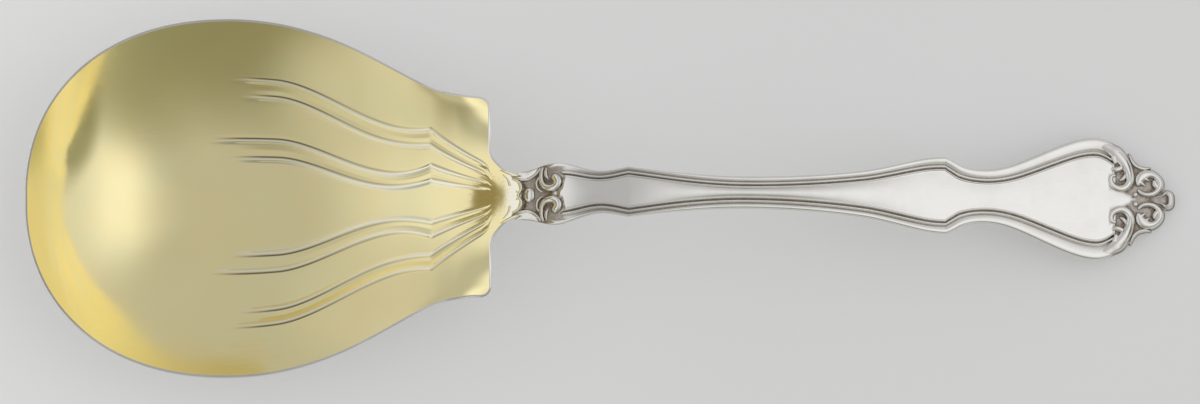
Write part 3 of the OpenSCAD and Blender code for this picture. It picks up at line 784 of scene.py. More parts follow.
@dataclass(frozen=True)
class HandleForm:
    """Form of the handle in millimetres, with stations from the tip of the bowl."""

    bowl: BowlForm
    drop_length: float = 13.0
    solder_room: float = 0.2
    neck_width: float = 9.6
    scroll_width: float = 12.4
    dip_width: float = 8.6
    knuckle_width: float = 10.1
    stem_width: float = 6.5
    flare_width: float = 9.3
    blade_width: float = 15.4
    waist_width: float = 10.8
    terminal_width: float = 24.6
    scrolls: float = 106.0
    dip: float = 115.0
    knuckle: float = 120.4
    flare: float = 166.8
    blade: float = 183.8
    waist: float = 191.4
    terminal: float = 213.8
    plate_end: float = 228.6
    arch_rise: float = 6.8
    tip_slope: float = 0.24
    neck_thickness: float = 3.0
    stem_thickness: float = 2.9
    blade_thickness: float = 2.1
    terminal_thickness: float = 1.6
    edge_thickness: float = 1.0
    stem_crown: float = 0.8
    blade_crown: float = 0.4
    panel_rise: float = 0.35
    moulding_height: float = 0.35
    thread_height: float = 0.3
    thread_width: float = 0.48
    groove_width: float = 0.26
    groove_sink: float = 0.2
    bead_width: float = 0.5
    edge_round: float = 0.5
    under_round: float = 0.62
    drop_edge: float = 0.3
    roll_lean: float = 0.72
    roll_fullness: float = 0.9
    edge_cut: float = 0.75
    edge_cut_reach: float = 0.16
    thread_fullness: float = 0.8
    bead_step: float = 0.35
    bead_crest: float = 0.06
    bead_crest_end: float = 0.66
    bead_groove: float = 0.16
    bead_groove_start: float = 0.62
    bead_groove_reach: float = 0.38
    bead_end: float = 0.95
    panel_edge: float = 0.24
    slope_run: float = 0.08
    roll_ends: tuple[float, ...] = (103.4, 105.6, 216.8, 219.0)
    thread_ends: tuple[float, ...] = (106.7, 107.4, 217.2, 217.8)

    @property
    def drop_tip(self) -> float:
        """Station of the tip of the drop under the bowl."""
        return self.bowl.length - self.drop_length

    @property
    def stem_middle(self) -> float:
        """Station of the slimmest part of the stem."""
        return (self.knuckle + self.flare) / 2

    def tip_station(self, share: float) -> float:
        """Returns a station between the terminal's widest point and the tip of the handle."""
        return self.terminal + share * (SPOON_LENGTH - self.terminal)

    @cached_property
    def outline(self) -> Curve:
        """Half width of the handle behind the tongue."""
        blade, waist, tip = self.blade_width, self.waist_width, self.terminal_width
        return Curve(
            (self.bowl.tongue_end, self.neck_width / 2, 0), (self.scrolls, self.scroll_width / 2, 0),
            (self.dip, self.dip_width / 2, 0), (self.knuckle, self.knuckle_width / 2, 0.16, -0.13),
            (self.stem_middle, self.stem_width / 2, 0), (self.flare, self.flare_width / 2, 0.13),
            (mix(self.flare, self.blade, 0.7), mix(self.flare_width, blade, 0.83) / 2, 0.2),
            (self.blade, blade / 2, 0, -0.35),
            (mix(self.blade, self.waist, 0.33), mix(waist, blade, 0.46) / 2, -0.55),
            (self.waist, waist / 2, 0),
            (mix(self.waist, self.terminal, 0.33), mix(waist, tip, 0.255) / 2, 0.42),
            (mix(self.waist, self.terminal, 0.6), mix(waist, tip, 0.64) / 2, 0.43),
            (self.terminal, tip / 2, 0), (self.tip_station(0.34), tip * 0.41, -0.75),
            (self.tip_station(0.555), tip * 0.275, -0.55), (self.tip_station(0.77), tip * 0.195, -0.7),
            (227.4, 3.1, -1.6), (self.plate_end, 1.2, -1.4))

    @cached_property
    def drop_outline(self) -> Curve:
        """Half width of the drop under the bowl."""
        return Curve((self.drop_tip, 0.8, 0.5),
                     (mix(self.drop_tip, self.bowl.heel, 0.35), self.neck_width * 0.22, 0.22),
                     (self.bowl.heel, self.neck_width * 0.39, 0.17),
                     (self.bowl.tongue_end, self.neck_width / 2, 0.1))

    @cached_property
    def thickness(self) -> Curve:
        """Thickness below the ground along the middle."""
        return Curve((self.drop_tip, 0.5, 0.05), (self.bowl.heel, self.neck_thickness * 0.7, 0.1),
                     (self.scrolls, self.neck_thickness, 0), (self.stem_middle, self.stem_thickness, 0),
                     (self.blade, self.blade_thickness, -0.02), (self.terminal, self.terminal_thickness, 0),
                     (SPOON_LENGTH, self.terminal_thickness, 0))

    @cached_property
    def crown(self) -> Curve:
        """Height of the round across the handle."""
        return Curve((self.bowl.tongue_end, self.bowl.neck_crown, 0), (self.dip, self.stem_crown, 0),
                     (self.flare, self.stem_crown, 0), (self.blade, self.blade_crown, 0),
                     (SPOON_LENGTH, self.blade_crown, 0))

    @cached_property
    def moulding(self) -> Curve:
        """Width of the edge moulding."""
        return Curve((104.0, 0.85, 0), (108.5, 0.8, -0.02), (114.5, 0.62, 0), (self.knuckle, 0.56, 0),
                     (132.0, 0.8, 0.02), (145.0, 0.95, 0), (self.flare, 1.0, 0.01),
                     (self.waist, 1.55, 0.03), (self.terminal, 2.35, 0), (SPOON_LENGTH, 2.35, 0))

    @cached_property
    def outer_groove(self) -> Curve:
        """Width of the groove between the moulding and the thread, which opens towards the neck."""
        return Curve((104.0, 1.2, 0), (106.0, 1.05, -0.12), (108.0, 0.78, -0.12), (111.0, 0.52, -0.04),
                     (114.5, 0.42, -0.02), (self.knuckle, 0.32, 0), (self.flare, 0.3, 0),
                     (self.waist, 0.34, 0), (self.terminal, 0.5, 0), (SPOON_LENGTH, 0.5, 0))

    @cached_property
    def panel_half(self) -> Curve:
        """Half width of the raised panel where it comes out between the scrolls and dies away at the tip."""
        return Curve((104.6, 0.0, 0), (105.8, 0.4, 0.4), (106.7, 0.9, 0.8), (107.2, 1.6, 2), (107.5, 2.8, 8),
                     (107.9, 9.0, 0), (217.3, 16.0, 0), (218.0, 2.4, -2), (219.2, 1.55, -0.5),
                     (220.4, 0.95, -0.5), (221.4, 0.35, -0.5), (222.2, 0.0, 0))

    @cached_property
    def panel_round(self) -> Curve:
        """Fall of the panel from its ridge to its edges."""
        return Curve((self.scrolls, 0.06, 0), (self.knuckle, 0.2, 0), (132.0, 0.26, 0), (156.0, 0.26, 0),
                     (self.flare, 0.22, -0.005), (self.blade, 0.14, 0), (SPOON_LENGTH, 0.1, 0))

    def half(self, s: Array) -> Array:
        """Returns the half width of the handle or of its drop."""
        s = np.asarray(s, float)
        return np.where(s < self.bowl.tongue_end, self.drop_outline(s), self.outline(s))

    def stretch(self, s: Array) -> Array:
        """Returns how much longer a distance across the handle is than one square to its edge.

        Args:
            s: stations.

        Returns:
            The ratios, 1 where the edge runs straight along the spoon.
        """
        run = self.slope_run
        slope = (self.outline(s + run) - self.outline(s - run)) / (2 * run)
        return np.sqrt(1 + slope**2)

    @cached_property
    def fall_curve(self) -> Curve:
        """Share of the fall from the knuckle to the tip."""
        return Curve((0, 0, 0.1), (0.133, 0.07, 0.75), (0.316, 0.205, 0.8), (0.42, 0.3, 1.05),
                     (0.7, 0.64, 1.3), (1, 1, 1.15))

    @cached_property
    def rise_curve(self) -> Curve:
        """Share of the rise from the end of the tongue to the knuckle."""
        return Curve((0, 0, 1.5), (0.18, 0.33, 2.1), (0.37, 0.69, 1.5), (0.6, 0.91, 0.6), (1, 1, 0.1))

    def spine(self, s: Array) -> Array:
        """Returns the height of the middle of the panel.

        Args:
            s: stations.

        Returns:
            The heights above the table.
        """
        start = self.bowl.tongue_end
        joined = float(self.bowl.outside(np.array([start]), np.zeros(1))[0])
        neck = joined - self.solder_room + self.panel_rise
        foot = self.terminal_thickness + self.panel_rise - self.tip_slope * (SPOON_LENGTH - self.plate_end)
        rise = neck + self.arch_rise * self.rise_curve((s - start) / (self.knuckle - start))
        behind = (s - self.knuckle) / (SPOON_LENGTH - self.knuckle)
        fall = mix(neck + self.arch_rise, foot, self.fall_curve(behind))
        return np.where(s < self.knuckle, rise, fall)

    def ground(self, s: Array, y: Array) -> Array:
        """Returns the height of the sunk ground."""
        half = np.where(s < self.terminal, self.half(s), self.terminal_width / 2)
        return self.spine(s) - self.panel_rise - self.crown(s) * (y / half) ** 2

    def seat(self, s: Array, y: Array) -> Array:
        """Returns the ground, or in front of it the seat of the bowl."""
        on_bowl = self.bowl.outside(s, y) - self.solder_room
        return np.where(s < self.bowl.tongue_end, on_bowl, self.ground(s, y))

    def under(self, s: Array, y: Array) -> Array:
        """Returns the height of the underside, rounded towards its edges.

        Args:
            s: stations.
            y: distances from the middle.

        Returns:
            The heights above the table.
        """
        half = self.half(s)
        v = np.clip(np.abs(y) / half, 0, 1)
        edge = mix(self.drop_edge, self.edge_thickness, smooth(self.drop_tip, self.bowl.tongue_end, s))
        d = np.clip((half - np.abs(y)) / np.minimum(self.edge_round, half), 0, 1)
        lift = (edge * self.under_round) * (1 - np.sqrt(1 - (1 - d) ** 2))
        return self.seat(s, y) - edge - (self.thickness(s) - edge) * (1 - v**2) + lift

    def lift(self, s: Array, y: Array) -> Array:
        """Returns the relief of the border and the panel above the ground.

        Args:
            s: stations.
            y: distances from the middle.

        Returns:
            The heights above the ground.
        """
        w, wide = self.moulding(s), self.outer_groove(s)
        t, g, b = self.thread_width, self.groove_width, self.bead_width
        d = np.maximum(0, (self.half(s) - np.abs(y)) / self.stretch(s))
        u = np.clip(d / w, 0, 1)
        cut = self.edge_cut * np.clip(1 - u / self.edge_cut_reach, 0, 1) ** 2
        roll = self.moulding_height * (hump(u**self.roll_lean) ** self.roll_fullness - cut)
        run = d - w
        outer = -self.groove_sink * hump(run / wide)
        thread = self.thread_height * hump((run - wide) / t) ** self.thread_fullness
        inner = -self.groove_sink * hump((run - wide - t) / g)
        step = np.clip((run - wide - g - t) / b, 0, 1)
        bead = self.panel_rise * smooth(0, self.bead_step, step)
        bead = bead + self.bead_crest * hump(step / self.bead_crest_end)
        bead = bead - self.bead_groove * hump((step - self.bead_groove_start) / self.bead_groove_reach)
        thread_shown = between(self.thread_ends, s)
        border = roll * between(self.roll_ends, s) * (u < 1) + (outer + thread + inner) * thread_shown
        open_panel = smooth(0, self.panel_edge, self.panel_half(s) - np.abs(y))
        panel_side = np.maximum(self.half(s) - (w + wide + t + g + b) * self.stretch(s), b)
        fall = self.panel_round(s) * np.clip(np.abs(y) / panel_side, 0, 1) ** 2
        start = np.where(step < self.bead_end, np.where(step > 0, bead, 0), self.panel_rise - fall)
        panel = np.where(thread_shown > 0.5, start * open_panel, self.panel_rise * open_panel)
        return np.where(s < self.bowl.tongue_end, 0, border + panel)


@dataclass(frozen=True)
class Stroke:
    """A half-round stroke of relief through points of station, distance across, half width and height."""

    points: tuple[tuple[float, float, float, float], ...]
    steps: int = 8
    fall: float = 3.0
    dot: float = 1e-3

    def line(self) -> Array:
        """Returns the stroke's smooth line.

        Returns:
            Rows of a station, a distance across, a half width and a height.
        """
        p = np.array(self.points, float)
        if len(p) == 1:
            return np.array([p[0], p[0] + (self.dot, 0, 0, 0)])
        last = len(p) - 1
        rows = []
        for i in range(last):
            a, b, c, d = p[max(0, i - 1)], p[i], p[i + 1], p[min(last, i + 2)]
            for k in range(self.steps):
                t = k / self.steps
                rows.append((2 * b + (c - a) * t + (2 * a - 5 * b + 4 * c - d) * t**2
                             + (3 * b - a - 3 * c + d) * t**3) / 2)
        rows.append(p[last])
        return np.array(rows)

    def box(self, margin: float) -> tuple[Array, Array]:
        """Returns the lowest and highest station and distance across that the stroke reaches."""
        place, half = self.line()[:, :2], self.line()[:, 2:3]
        return (place - half).min(axis=0) - margin, (place + half).max(axis=0) + margin

    def near(self, margin: float, s: Array, y: Array) -> Array:
        """Returns which points lie within a margin of the stroke's box."""
        lo, hi = self.box(margin)
        return (s >= lo[0]) & (s <= hi[0]) & (y >= lo[1]) & (y <= hi[1])

    def relief(self, s: Array, y: Array) -> Array:
        """Returns the stroke's height above the ground, which falls below it past its sides.

        Args:
            s: stations.
            y: distances from the middle.

        Returns:
            The heights.
        """
        line = self.line()
        best = np.full(s.shape, FAR_BELOW)
        for a, b in zip(line, line[1:]):
            run = b[:2] - a[:2]
            t = np.clip(((s - a[0]) * run[0] + (y - a[1]) * run[1]) / max(run @ run, TINY), 0, 1)
            off = np.hypot(s - a[0] - t * run[0], y - a[1] - t * run[1])
            half, height = mix(a[2], b[2], t), mix(a[3], b[3], t)
            share = np.clip(off / half, 0, 1)
            inside = height * np.sqrt(1 - share**2)
            best = np.maximum(best, np.where(off < half, inside, -(off - half) * self.fall))
        return best


@dataclass(frozen=True)
class Ornament:
    """One cast ornament: its strokes, the veins cut into them and how far its foot goes into the ground."""

    node: str
    strokes: tuple[Stroke, ...]
    veins: tuple[Stroke, ...] = ()
    foot: float = 0.2
    rubbed: float = 0.16
    step: float = 0.055
    on_tongue: bool = False
    within_edge: bool = False

    EDGE_GAP, EDGE_FALL = 0.05, 3.0
    FOOT_SPREAD, WINDOW_MARGIN = 3.0, 0.15
    STROKE_MARGIN, VEIN_MARGIN = 0.6, 0.1
    EDGE_PULL, LEAST_SLOPE = 0.8, 0.5
    SOLE = 0.06
    RUBBED_FROM, RUBBED_AT = 0.05, 0.2
    CREASE = 70.0

    def relief(self, handle: HandleForm, s: Array, y: Array) -> Array:
        """Returns the ornament's height above the ground.

        Args:
            handle: the form that the ornament sits on.
            s: stations.
            y: distances from the middle.

        Returns:
            The heights.
        """
        best = np.full(s.shape, FAR_BELOW)
        for stroke in self.strokes:
            near = stroke.near(self.STROKE_MARGIN, s, y)
            best[near] = np.maximum(best[near], stroke.relief(s[near], y[near]))
        for vein in self.veins:
            near = vein.near(self.VEIN_MARGIN, s, y) & (best > 0)
            best[near] = np.maximum(0, best[near] - np.maximum(0, vein.relief(s[near], y[near])))
        if self.within_edge:
            best = np.minimum(best, (handle.half(s) - np.abs(y) - self.EDGE_GAP) * self.EDGE_FALL)
        return best

    def window(self) -> tuple[Array, Array]:
        """Returns the stations and the distances across that the ornament is modelled over.

        Returns:
            The stations and the distances across.
        """
        boxes = [stroke.box(self.foot / self.FOOT_SPREAD + self.WINDOW_MARGIN) for stroke in self.strokes]
        lo = np.min([b[0] for b in boxes], axis=0)
        hi = np.max([b[1] for b in boxes], axis=0)
        return np.arange(lo[0], hi[0], self.step), np.arange(lo[1], hi[1], self.step)

    def build(self, handle: HandleForm, relief_map: ReliefMap, side: Side) -> Obj:
        """Makes the ornament for one side of the spoon.

        Args:
            handle: the form that the ornament sits on.
            relief_map: the map that tells its recesses.
            side: side of the spoon.

        Returns:
            The finished mesh object.
        """
        along, across = self.window()
        s, y = np.meshgrid(along, across)
        h = self.relief(handle, s, y)
        cells = sum(corners(h)) / 4 > -self.foot
        around = corners(np.pad(cells, 1))
        edge = np.any(around, axis=0) & ~np.all(around, axis=0)
        gy, gs = np.gradient(h, self.step)
        pull = np.where(edge, (-self.foot - h) / np.maximum(gs**2 + gy**2, self.LEAST_SLOPE), 0)
        most = self.EDGE_PULL * self.step
        s = s + np.clip(pull * gs, -most, most)
        y = y + np.clip(pull * gy, -most, most)
        h = np.where(edge, -self.foot, np.maximum(h, -self.foot))
        base = handle.bowl.inside(s, y) if self.on_tongue else handle.seat(s, y)
        layers = (base + h, base - self.foot - self.SOLE)
        obj, kept = Bench.slab(f"{self.node}_cast", s, y * side.value, layers, cells)
        s, y, h = (v.ravel()[kept] for v in (s, y, h))
        Bench.mark(obj, "oxide", relief_map.oxide(s, y, h + self.rubbed))
        if self.on_tongue:
            Bench.mark(obj, "wear_and_sheen", smooth(self.RUBBED_FROM, self.RUBBED_AT, h) * BowlGrid.TONGUE_WORN)
        Bench.finish(obj, self.CREASE)
        return obj


class ReliefMap:
    """Heights of all relief on one half of the handle, from which its recesses are found."""

    START, END, HALF, STEP = 93.0, 231.0, 13.2, 0.06
    MARGIN, OFF_EDGE = 0.2, -0.5
    SOFT, KERNEL_REACH = (0.28, 0.7), 3
    RECESS = ((0.06, 0.2), (0.1, 0.34))
    NECK_GROUND = (98.0, 99.0, 106.5, 108.5)
    TIP_GROUND = (216.6, 217.4)
    GROUND_CLEAR = (0.02, 0.2)
    GROUND_TONE, BORDER_TONE = 0.72, 0.72
    LAST_CELL = 1.001

    def __init__(self, handle: HandleForm, ornaments: tuple[Ornament, ...]) -> None:
        """Adds up the border and the ornaments and softens them at two scales.

        Args:
            handle: the form of the handle.
            ornaments: all ornaments, those in pairs once.
        """
        self.along = np.arange(self.START, self.END, self.STEP)
        self.across = np.arange(0, self.HALF, self.STEP)
        s, y = np.meshgrid(self.along, self.across, indexing="ij")
        height = handle.lift(s, y)
        for ornament in ornaments:
            for stroke in ornament.strokes:
                lo, hi = stroke.box(self.MARGIN)
                first, last = (int((v - self.START) / self.STEP) for v in (lo[0], hi[0]))
                i = slice(max(0, first), last + 1)
                j = slice(max(0, int(lo[1] / self.STEP)), max(0, int(hi[1] / self.STEP) + 1))
                if height[i, j].size:
                    height[i, j] = np.maximum(height[i, j], stroke.relief(s[i, j], y[i, j]))
        height = np.where(y > handle.half(s), self.OFF_EDGE, height)
        self.soft = [self.blur(height, sigma) for sigma in self.SOFT]

    def blur(self, height: Array, sigma: float) -> Array:
        """Returns the heights softened over a distance in millimetres.

        Args:
            height: heights on the map.
            sigma: the distance.

        Returns:
            The softened heights.
        """
        reach = int(self.KERNEL_REACH * sigma / self.STEP)
        kernel = np.exp(-0.5 * (np.arange(-reach, reach + 1) * self.STEP / sigma) ** 2)
        kernel /= kernel.sum()
        full = np.concatenate([height[:, reach:0:-1], height], axis=1)
        full = np.pad(full, ((reach, reach), (0, reach)), mode="edge")
        full = np.apply_along_axis(lambda row: np.convolve(row, kernel, mode="valid"), 1, full)
        return np.apply_along_axis(lambda col: np.convolve(col, kernel, mode="valid"), 0, full)

    def oxide(self, s: Array, y: Array, h: Array) -> Array:
        """Returns the share of dark oxide at points that stand h above the ground.

        Args:
            s: stations.
            y: distances from the middle.
            h: their heights above the ground.

        Returns:
            The shares, 0 for bare metal.
        """
        i = np.clip((s - self.START) / self.STEP, 0, len(self.along) - self.LAST_CELL)
        j = np.clip(np.abs(y) / self.STEP, 0, len(self.across) - self.LAST_CELL)
        a, b = i.astype(int), j.astype(int)
        u, v = i - a, j - b
        deep = []
        for soft in self.soft:
            level = mix(mix(soft[a, b], soft[a + 1, b], u), mix(soft[a, b + 1], soft[a + 1, b + 1], u), v)
            deep.append(level - h)
        recess = np.max([smooth(*ends, d) for ends, d in zip(self.RECESS, deep)], axis=0)
        sunk = np.maximum(between(self.NECK_GROUND, s), smooth(*self.TIP_GROUND, s))
        recess = recess * mix(self.BORDER_TONE, 1.0, sunk)
        return np.maximum(recess, sunk * (1 - smooth(*self.GROUND_CLEAR, h)) * self.GROUND_TONE)


@dataclass
class Handle:
    """The struck handle with its drop, border and panel."""

    form: HandleForm
    relief_map: ReliefMap
    pieces: list[Obj] = field(default_factory=list)

    MOULDING = (0, 0.04, 0.1, 0.18, 0.28, 0.4, 0.52, 0.64, 0.76, 0.88, 1)
    GROOVE = (0.25, 0.5, 0.75, 1)
    THREAD = (0.13, 0.29, 0.5, 0.71, 0.87, 1)
    BEAD = (0.12, 0.24, 0.36, 0.5, 0.62, 0.72, 0.81, 0.9, 1)
    PANEL = (0.05, 0.12, 0.24, 0.4, 0.6, 0.8, 1)
    INNERMOST, THINNEST, CREASE = 0.93, 0.02, 75.0

    def rows(self) -> Array:
        """Returns the stations of the rows.

        Returns:
            The stations in order.
        """
        f = self.form
        b = f.bowl
        return stations((f.drop_tip, 0), (b.heel, 22), (b.tongue_end, 16), (f.scrolls, 28), (f.dip, 36),
                        (f.knuckle, 20), (f.stem_middle, 50), (f.flare, 44), (mix(f.flare, f.blade, 0.7), 28),
                        (f.blade, 22), (mix(f.blade, f.waist, 0.33), 16), (f.waist, 22),
                        (mix(f.waist, f.terminal, 0.6), 38), (f.terminal, 30), (f.tip_station(0.34), 26),
                        (f.tip_station(0.555), 16), (f.tip_station(0.77), 16), (f.plate_end, 14))

    def build(self) -> None:
        """Makes the handle."""
        f = self.form
        s = self.rows()
        on = np.maximum(s, f.bowl.tongue_end)
        full = f.half(on)
        w, wide, stretch = f.moulding(on), f.outer_groove(on), f.stretch(on)
        inset, start = [], np.zeros_like(w)
        for width, shares in ((w, self.MOULDING), (wide, self.GROOVE), (f.thread_width, self.THREAD),
                              (f.groove_width, self.GROOVE), (f.bead_width, self.BEAD)):
            inset += [start + width * a for a in shares]
            start = start + width
        edge = np.stack([full - np.minimum(d * stretch, self.INNERMOST * full) for d in inset], axis=1)
        panel = np.stack([edge[:, -1] * (1 - p) for p in self.PANEL], axis=1)
        side = np.concatenate([edge, panel], axis=1)[:, ::-1] * (f.half(s) / full)[:, None]
        y = mirrored(side, -1)
        s = np.repeat(s[:, None], y.shape[1], axis=1)
        lift = f.lift(s, y)
        top = f.seat(s, y) + lift
        bottom = np.minimum(f.under(s, y), top - self.THINNEST)
        obj, _ = Bench.slab("handle_struck", s, y, (top, bottom))
        dark = np.where(s < f.bowl.tongue_end, 0, self.relief_map.oxide(s, y, lift))
        Bench.mark(obj, "oxide", dark.ravel())
        Bench.finish(obj, self.CREASE)
        self.pieces = [obj]

    def dress(self, silver: Silver) -> None:
        """Gives the handle its finish and its place on the frame."""
        hand_over(self.pieces[0], silver, "handle")


@dataclass
class Joint:
    """The film of hard solder between the bowl and the handle."""

    form: HandleForm
    margin: float = 0.5
    spread: float = 0.9
    gap: float = 0.05
    columns: int = 12
    steps: int = 60
    pieces: list[Obj] = field(default_factory=list)

    def build(self) -> None:
        """Makes the film."""
        f = self.form
        s = np.linspace(f.drop_tip + self.margin, f.bowl.tongue_end - self.margin, self.steps + 1)
        y = f.half(s)[:, None] * self.spread * np.linspace(-1, 1, self.columns + 1)
        s = np.repeat(s[:, None], self.columns + 1, axis=1)
        seat = f.bowl.outside(s, y)
        obj, _ = Bench.slab("heel_film", s, y, (seat - self.gap, seat - f.solder_room + self.gap))
        Bench.finish(obj)
        self.pieces = [obj]

    def dress(self, solder: Solder) -> None:
        """Gives the film its finish and its place on the frame."""
        hand_over(self.pieces[0], solder, "heel_solder")


HEEL_CREST = Ornament("heel_crest", (
    Stroke(((97.3, 3.3, 0.18, 0.2), (98.1, 2.95, 0.22, 0.26), (98.78, 2.3, 0.24, 0.3),
            (98.98, 1.5, 0.24, 0.3), (98.7, 0.7, 0.22, 0.28), (98.38, 0.0, 0.2, 0.24),
            (98.7, -0.7, 0.22, 0.28), (98.98, -1.5, 0.24, 0.3), (98.78, -2.3, 0.24, 0.3),
            (98.1, -2.95, 0.22, 0.26), (97.3, -3.3, 0.18, 0.2))),
    Stroke(((98.15, 0.75, 0.22, 0.22),)),
    Stroke(((98.15, -0.75, 0.22, 0.22),)),
), on_tongue=True)

HEEL_LEAF = Ornament("heel_leaf", (
    Stroke(((94.9, 5.3, 0.12, 0.12), (96.0, 4.85, 0.26, 0.24), (97.3, 4.3, 0.3, 0.28),
            (98.3, 4.05, 0.16, 0.2))),
    Stroke(((95.4, 4.4, 0.1, 0.1), (96.3, 3.3, 0.16, 0.16), (96.7, 2.2, 0.24, 0.2))),
), on_tongue=True)

NECK_BEAD = Ornament("neck_bead", (Stroke(((100.5, -0.34, 1.18, 0.95), (100.5, 0.34, 1.18, 0.95))),))

NECK_CRESCENT = Ornament("neck_crescent", (
    Stroke(((98.3, 3.3, 0.2, 0.5), (99.2, 3.1, 0.27, 0.62), (100.2, 3.15, 0.3, 0.66),
            (101.2, 3.55, 0.3, 0.66), (102.1, 4.25, 0.28, 0.62), (102.75, 5.1, 0.22, 0.5))),
    Stroke(((98.6, 4.3, 0.9, 0.3), (100.2, 4.5, 1.2, 0.3), (101.3, 5.1, 0.9, 0.28),
            (102.0, 5.7, 0.5, 0.24))),
), within_edge=True)

NECK_SCROLL = Ornament("neck_scroll", (
    Stroke(((103.3, 5.2, 0.26, 0.5), (103.0, 4.3, 0.4, 0.7), (102.92, 3.3, 0.48, 0.82),
            (103.1, 2.3, 0.55, 0.9), (103.75, 1.45, 0.64, 0.94), (104.8, 1.1, 0.74, 0.95),
            (105.75, 1.4, 0.84, 0.95), (106.2, 2.15, 0.9, 0.95), (106.1, 2.85, 0.88, 0.95),
            (105.75, 3.2, 0.78, 0.94))),
    Stroke(((104.0, 5.1, 0.2, 0.5), (103.9, 4.4, 0.36, 0.64), (104.0, 3.6, 0.36, 0.64),
            (104.4, 3.05, 0.16, 0.45))),
    Stroke(((102.45, 3.4, 0.16, 0.4), (102.02, 2.45, 0.28, 0.54), (102.14, 1.5, 0.3, 0.54),
            (102.65, 0.8, 0.26, 0.5), (103.2, 0.48, 0.14, 0.4))),
), within_edge=True)

TIP_VOLUTE = Ornament("tip_volute", (
    Stroke(((214.4, 11.2, 0.6, 0.1), (215.3, 10.95, 0.75, 0.26), (216.2, 10.55, 0.9, 0.42),
            (217.2, 9.9, 1.05, 0.6), (218.3, 9.1, 1.3, 0.82), (219.6, 7.6, 1.2, 0.96),
            (220.5, 6.0, 1.05, 1.0), (220.9, 4.5, 0.92, 1.0), (220.7, 3.2, 0.86, 1.0),
            (219.8, 2.3, 0.82, 0.98), (218.6, 2.1, 0.74, 0.92), (217.5, 2.65, 0.64, 0.86),
            (216.98, 3.6, 0.56, 0.8), (217.15, 4.5, 0.46, 0.76), (217.75, 4.7, 0.36, 0.66))),
    Stroke(((217.4, 9.1, 0.34, 0.5), (217.65, 8.3, 0.56, 0.7), (217.95, 7.4, 0.42, 0.6))),
    Stroke(((217.5, 6.05, 0.46, 0.62), (218.2, 5.95, 0.6, 0.76), (219.2, 6.35, 0.56, 0.78),
            (220.0, 7.2, 0.3, 0.6))),
    Stroke(((218.9, 3.75, 0.26, 0.6), (219.5, 4.15, 0.46, 0.76), (220.1, 5.0, 0.44, 0.74),
            (220.4, 6.0, 0.3, 0.6))),
), (
    Stroke(((218.7, 9.5, 0.05, 0.1), (220.2, 7.8, 0.13, 0.34), (221.05, 5.2, 0.13, 0.34),
            (220.9, 3.4, 0.05, 0.1))),
    Stroke(((217.9, 8.6, 0.05, 0.1), (219.2, 7.0, 0.11, 0.26), (219.95, 5.0, 0.11, 0.26),
            (219.9, 3.6, 0.05, 0.1))),
), foot=0.9)

TIP_SCROLL = Ornament("tip_scroll", (
    Stroke(((222.5, 3.1, 0.5, 0.7), (222.85, 4.05, 0.95, 0.86), (223.5, 4.75, 1.1, 0.94),
            (224.7, 5.1, 0.86, 0.96), (225.95, 4.7, 0.68, 1.0), (226.85, 3.6, 0.66, 1.0),
            (226.75, 2.35, 0.66, 1.0), (225.85, 1.4, 0.6, 0.96), (224.6, 1.0, 0.54, 0.9),
            (223.4, 1.15, 0.48, 0.8), (222.6, 1.8, 0.36, 0.6))),
    Stroke(((226.5, 2.4, 0.56, 0.95), (225.95, 2.95, 0.68, 1.0), (225.75, 3.5, 0.54, 0.92))),
    Stroke(((222.9, 4.5, 0.7, 0.82), (223.9, 4.25, 0.5, 0.76), (224.7, 3.7, 0.12, 0.5))),
    Stroke(((222.6, 3.6, 0.54, 0.76), (223.4, 3.15, 0.36, 0.68), (224.0, 2.6, 0.12, 0.45))),
), foot=0.9)

TIP_THORN = Ornament("tip_thorn", (
    Stroke(((220.75, 9.0, 0.12, 0.3), (221.35, 7.6, 0.28, 0.56), (222.3, 6.6, 0.34, 0.62),
            (223.6, 6.2, 0.32, 0.6), (224.8, 6.3, 0.12, 0.36))),
), foot=0.7)

TIP_PEARLS = Ornament("tip_pearls", (
    Stroke(((221.95, 0.95, 0.55, 0.55),)),
    Stroke(((221.95, -0.95, 0.55, 0.55),)),
))

TIP_BEAD = Ornament("tip_bead", (
    Stroke(((225.6, 0.35, 0.12, 0.3), (227.2, 0.8, 0.2, 0.5), (228.1, 1.3, 0.46, 0.8),
            (228.84, 1.0, 0.6, 0.98), (229.03, 0.0, 0.6, 1.0), (228.84, -1.0, 0.6, 0.98),
            (228.1, -1.3, 0.46, 0.8), (227.2, -0.8, 0.2, 0.5), (225.6, -0.35, 0.12, 0.3))),
), foot=0.9)

PAIRED = (HEEL_LEAF, NECK_CRESCENT, NECK_SCROLL, TIP_VOLUTE, TIP_SCROLL, TIP_THORN)
SINGLE = (HEEL_CREST, NECK_BEAD, TIP_PEARLS, TIP_BEAD)


@dataclass
class Ornaments:
    """All cast ornaments of the tongue, the neck and the tip."""

    handle: HandleForm
    relief_map: ReliefMap
    pieces: list[tuple[Obj, str]] = field(default_factory=list)

    def build(self) -> None:
        """Makes every ornament, those in pairs for both sides."""
        for ornament in SINGLE:
            self.pieces.append((ornament.build(self.handle, self.relief_map, Side.LEFT), ornament.node))
        for ornament in PAIRED:
            for side in Side:
                obj = ornament.build(self.handle, self.relief_map, side)
                node = f"{ornament.node}_{side.name.lower()}"
                obj.name = obj.data.name = f"{node}_cast"
                self.pieces.append((obj, node))

    def dress(self, silver: Silver, gold: Gold) -> None:
        """Gives the ornaments their finishes and their places on the frame."""
        for obj, node in self.pieces:
            hand_over(obj, gold if node.startswith("heel") else silver, node)


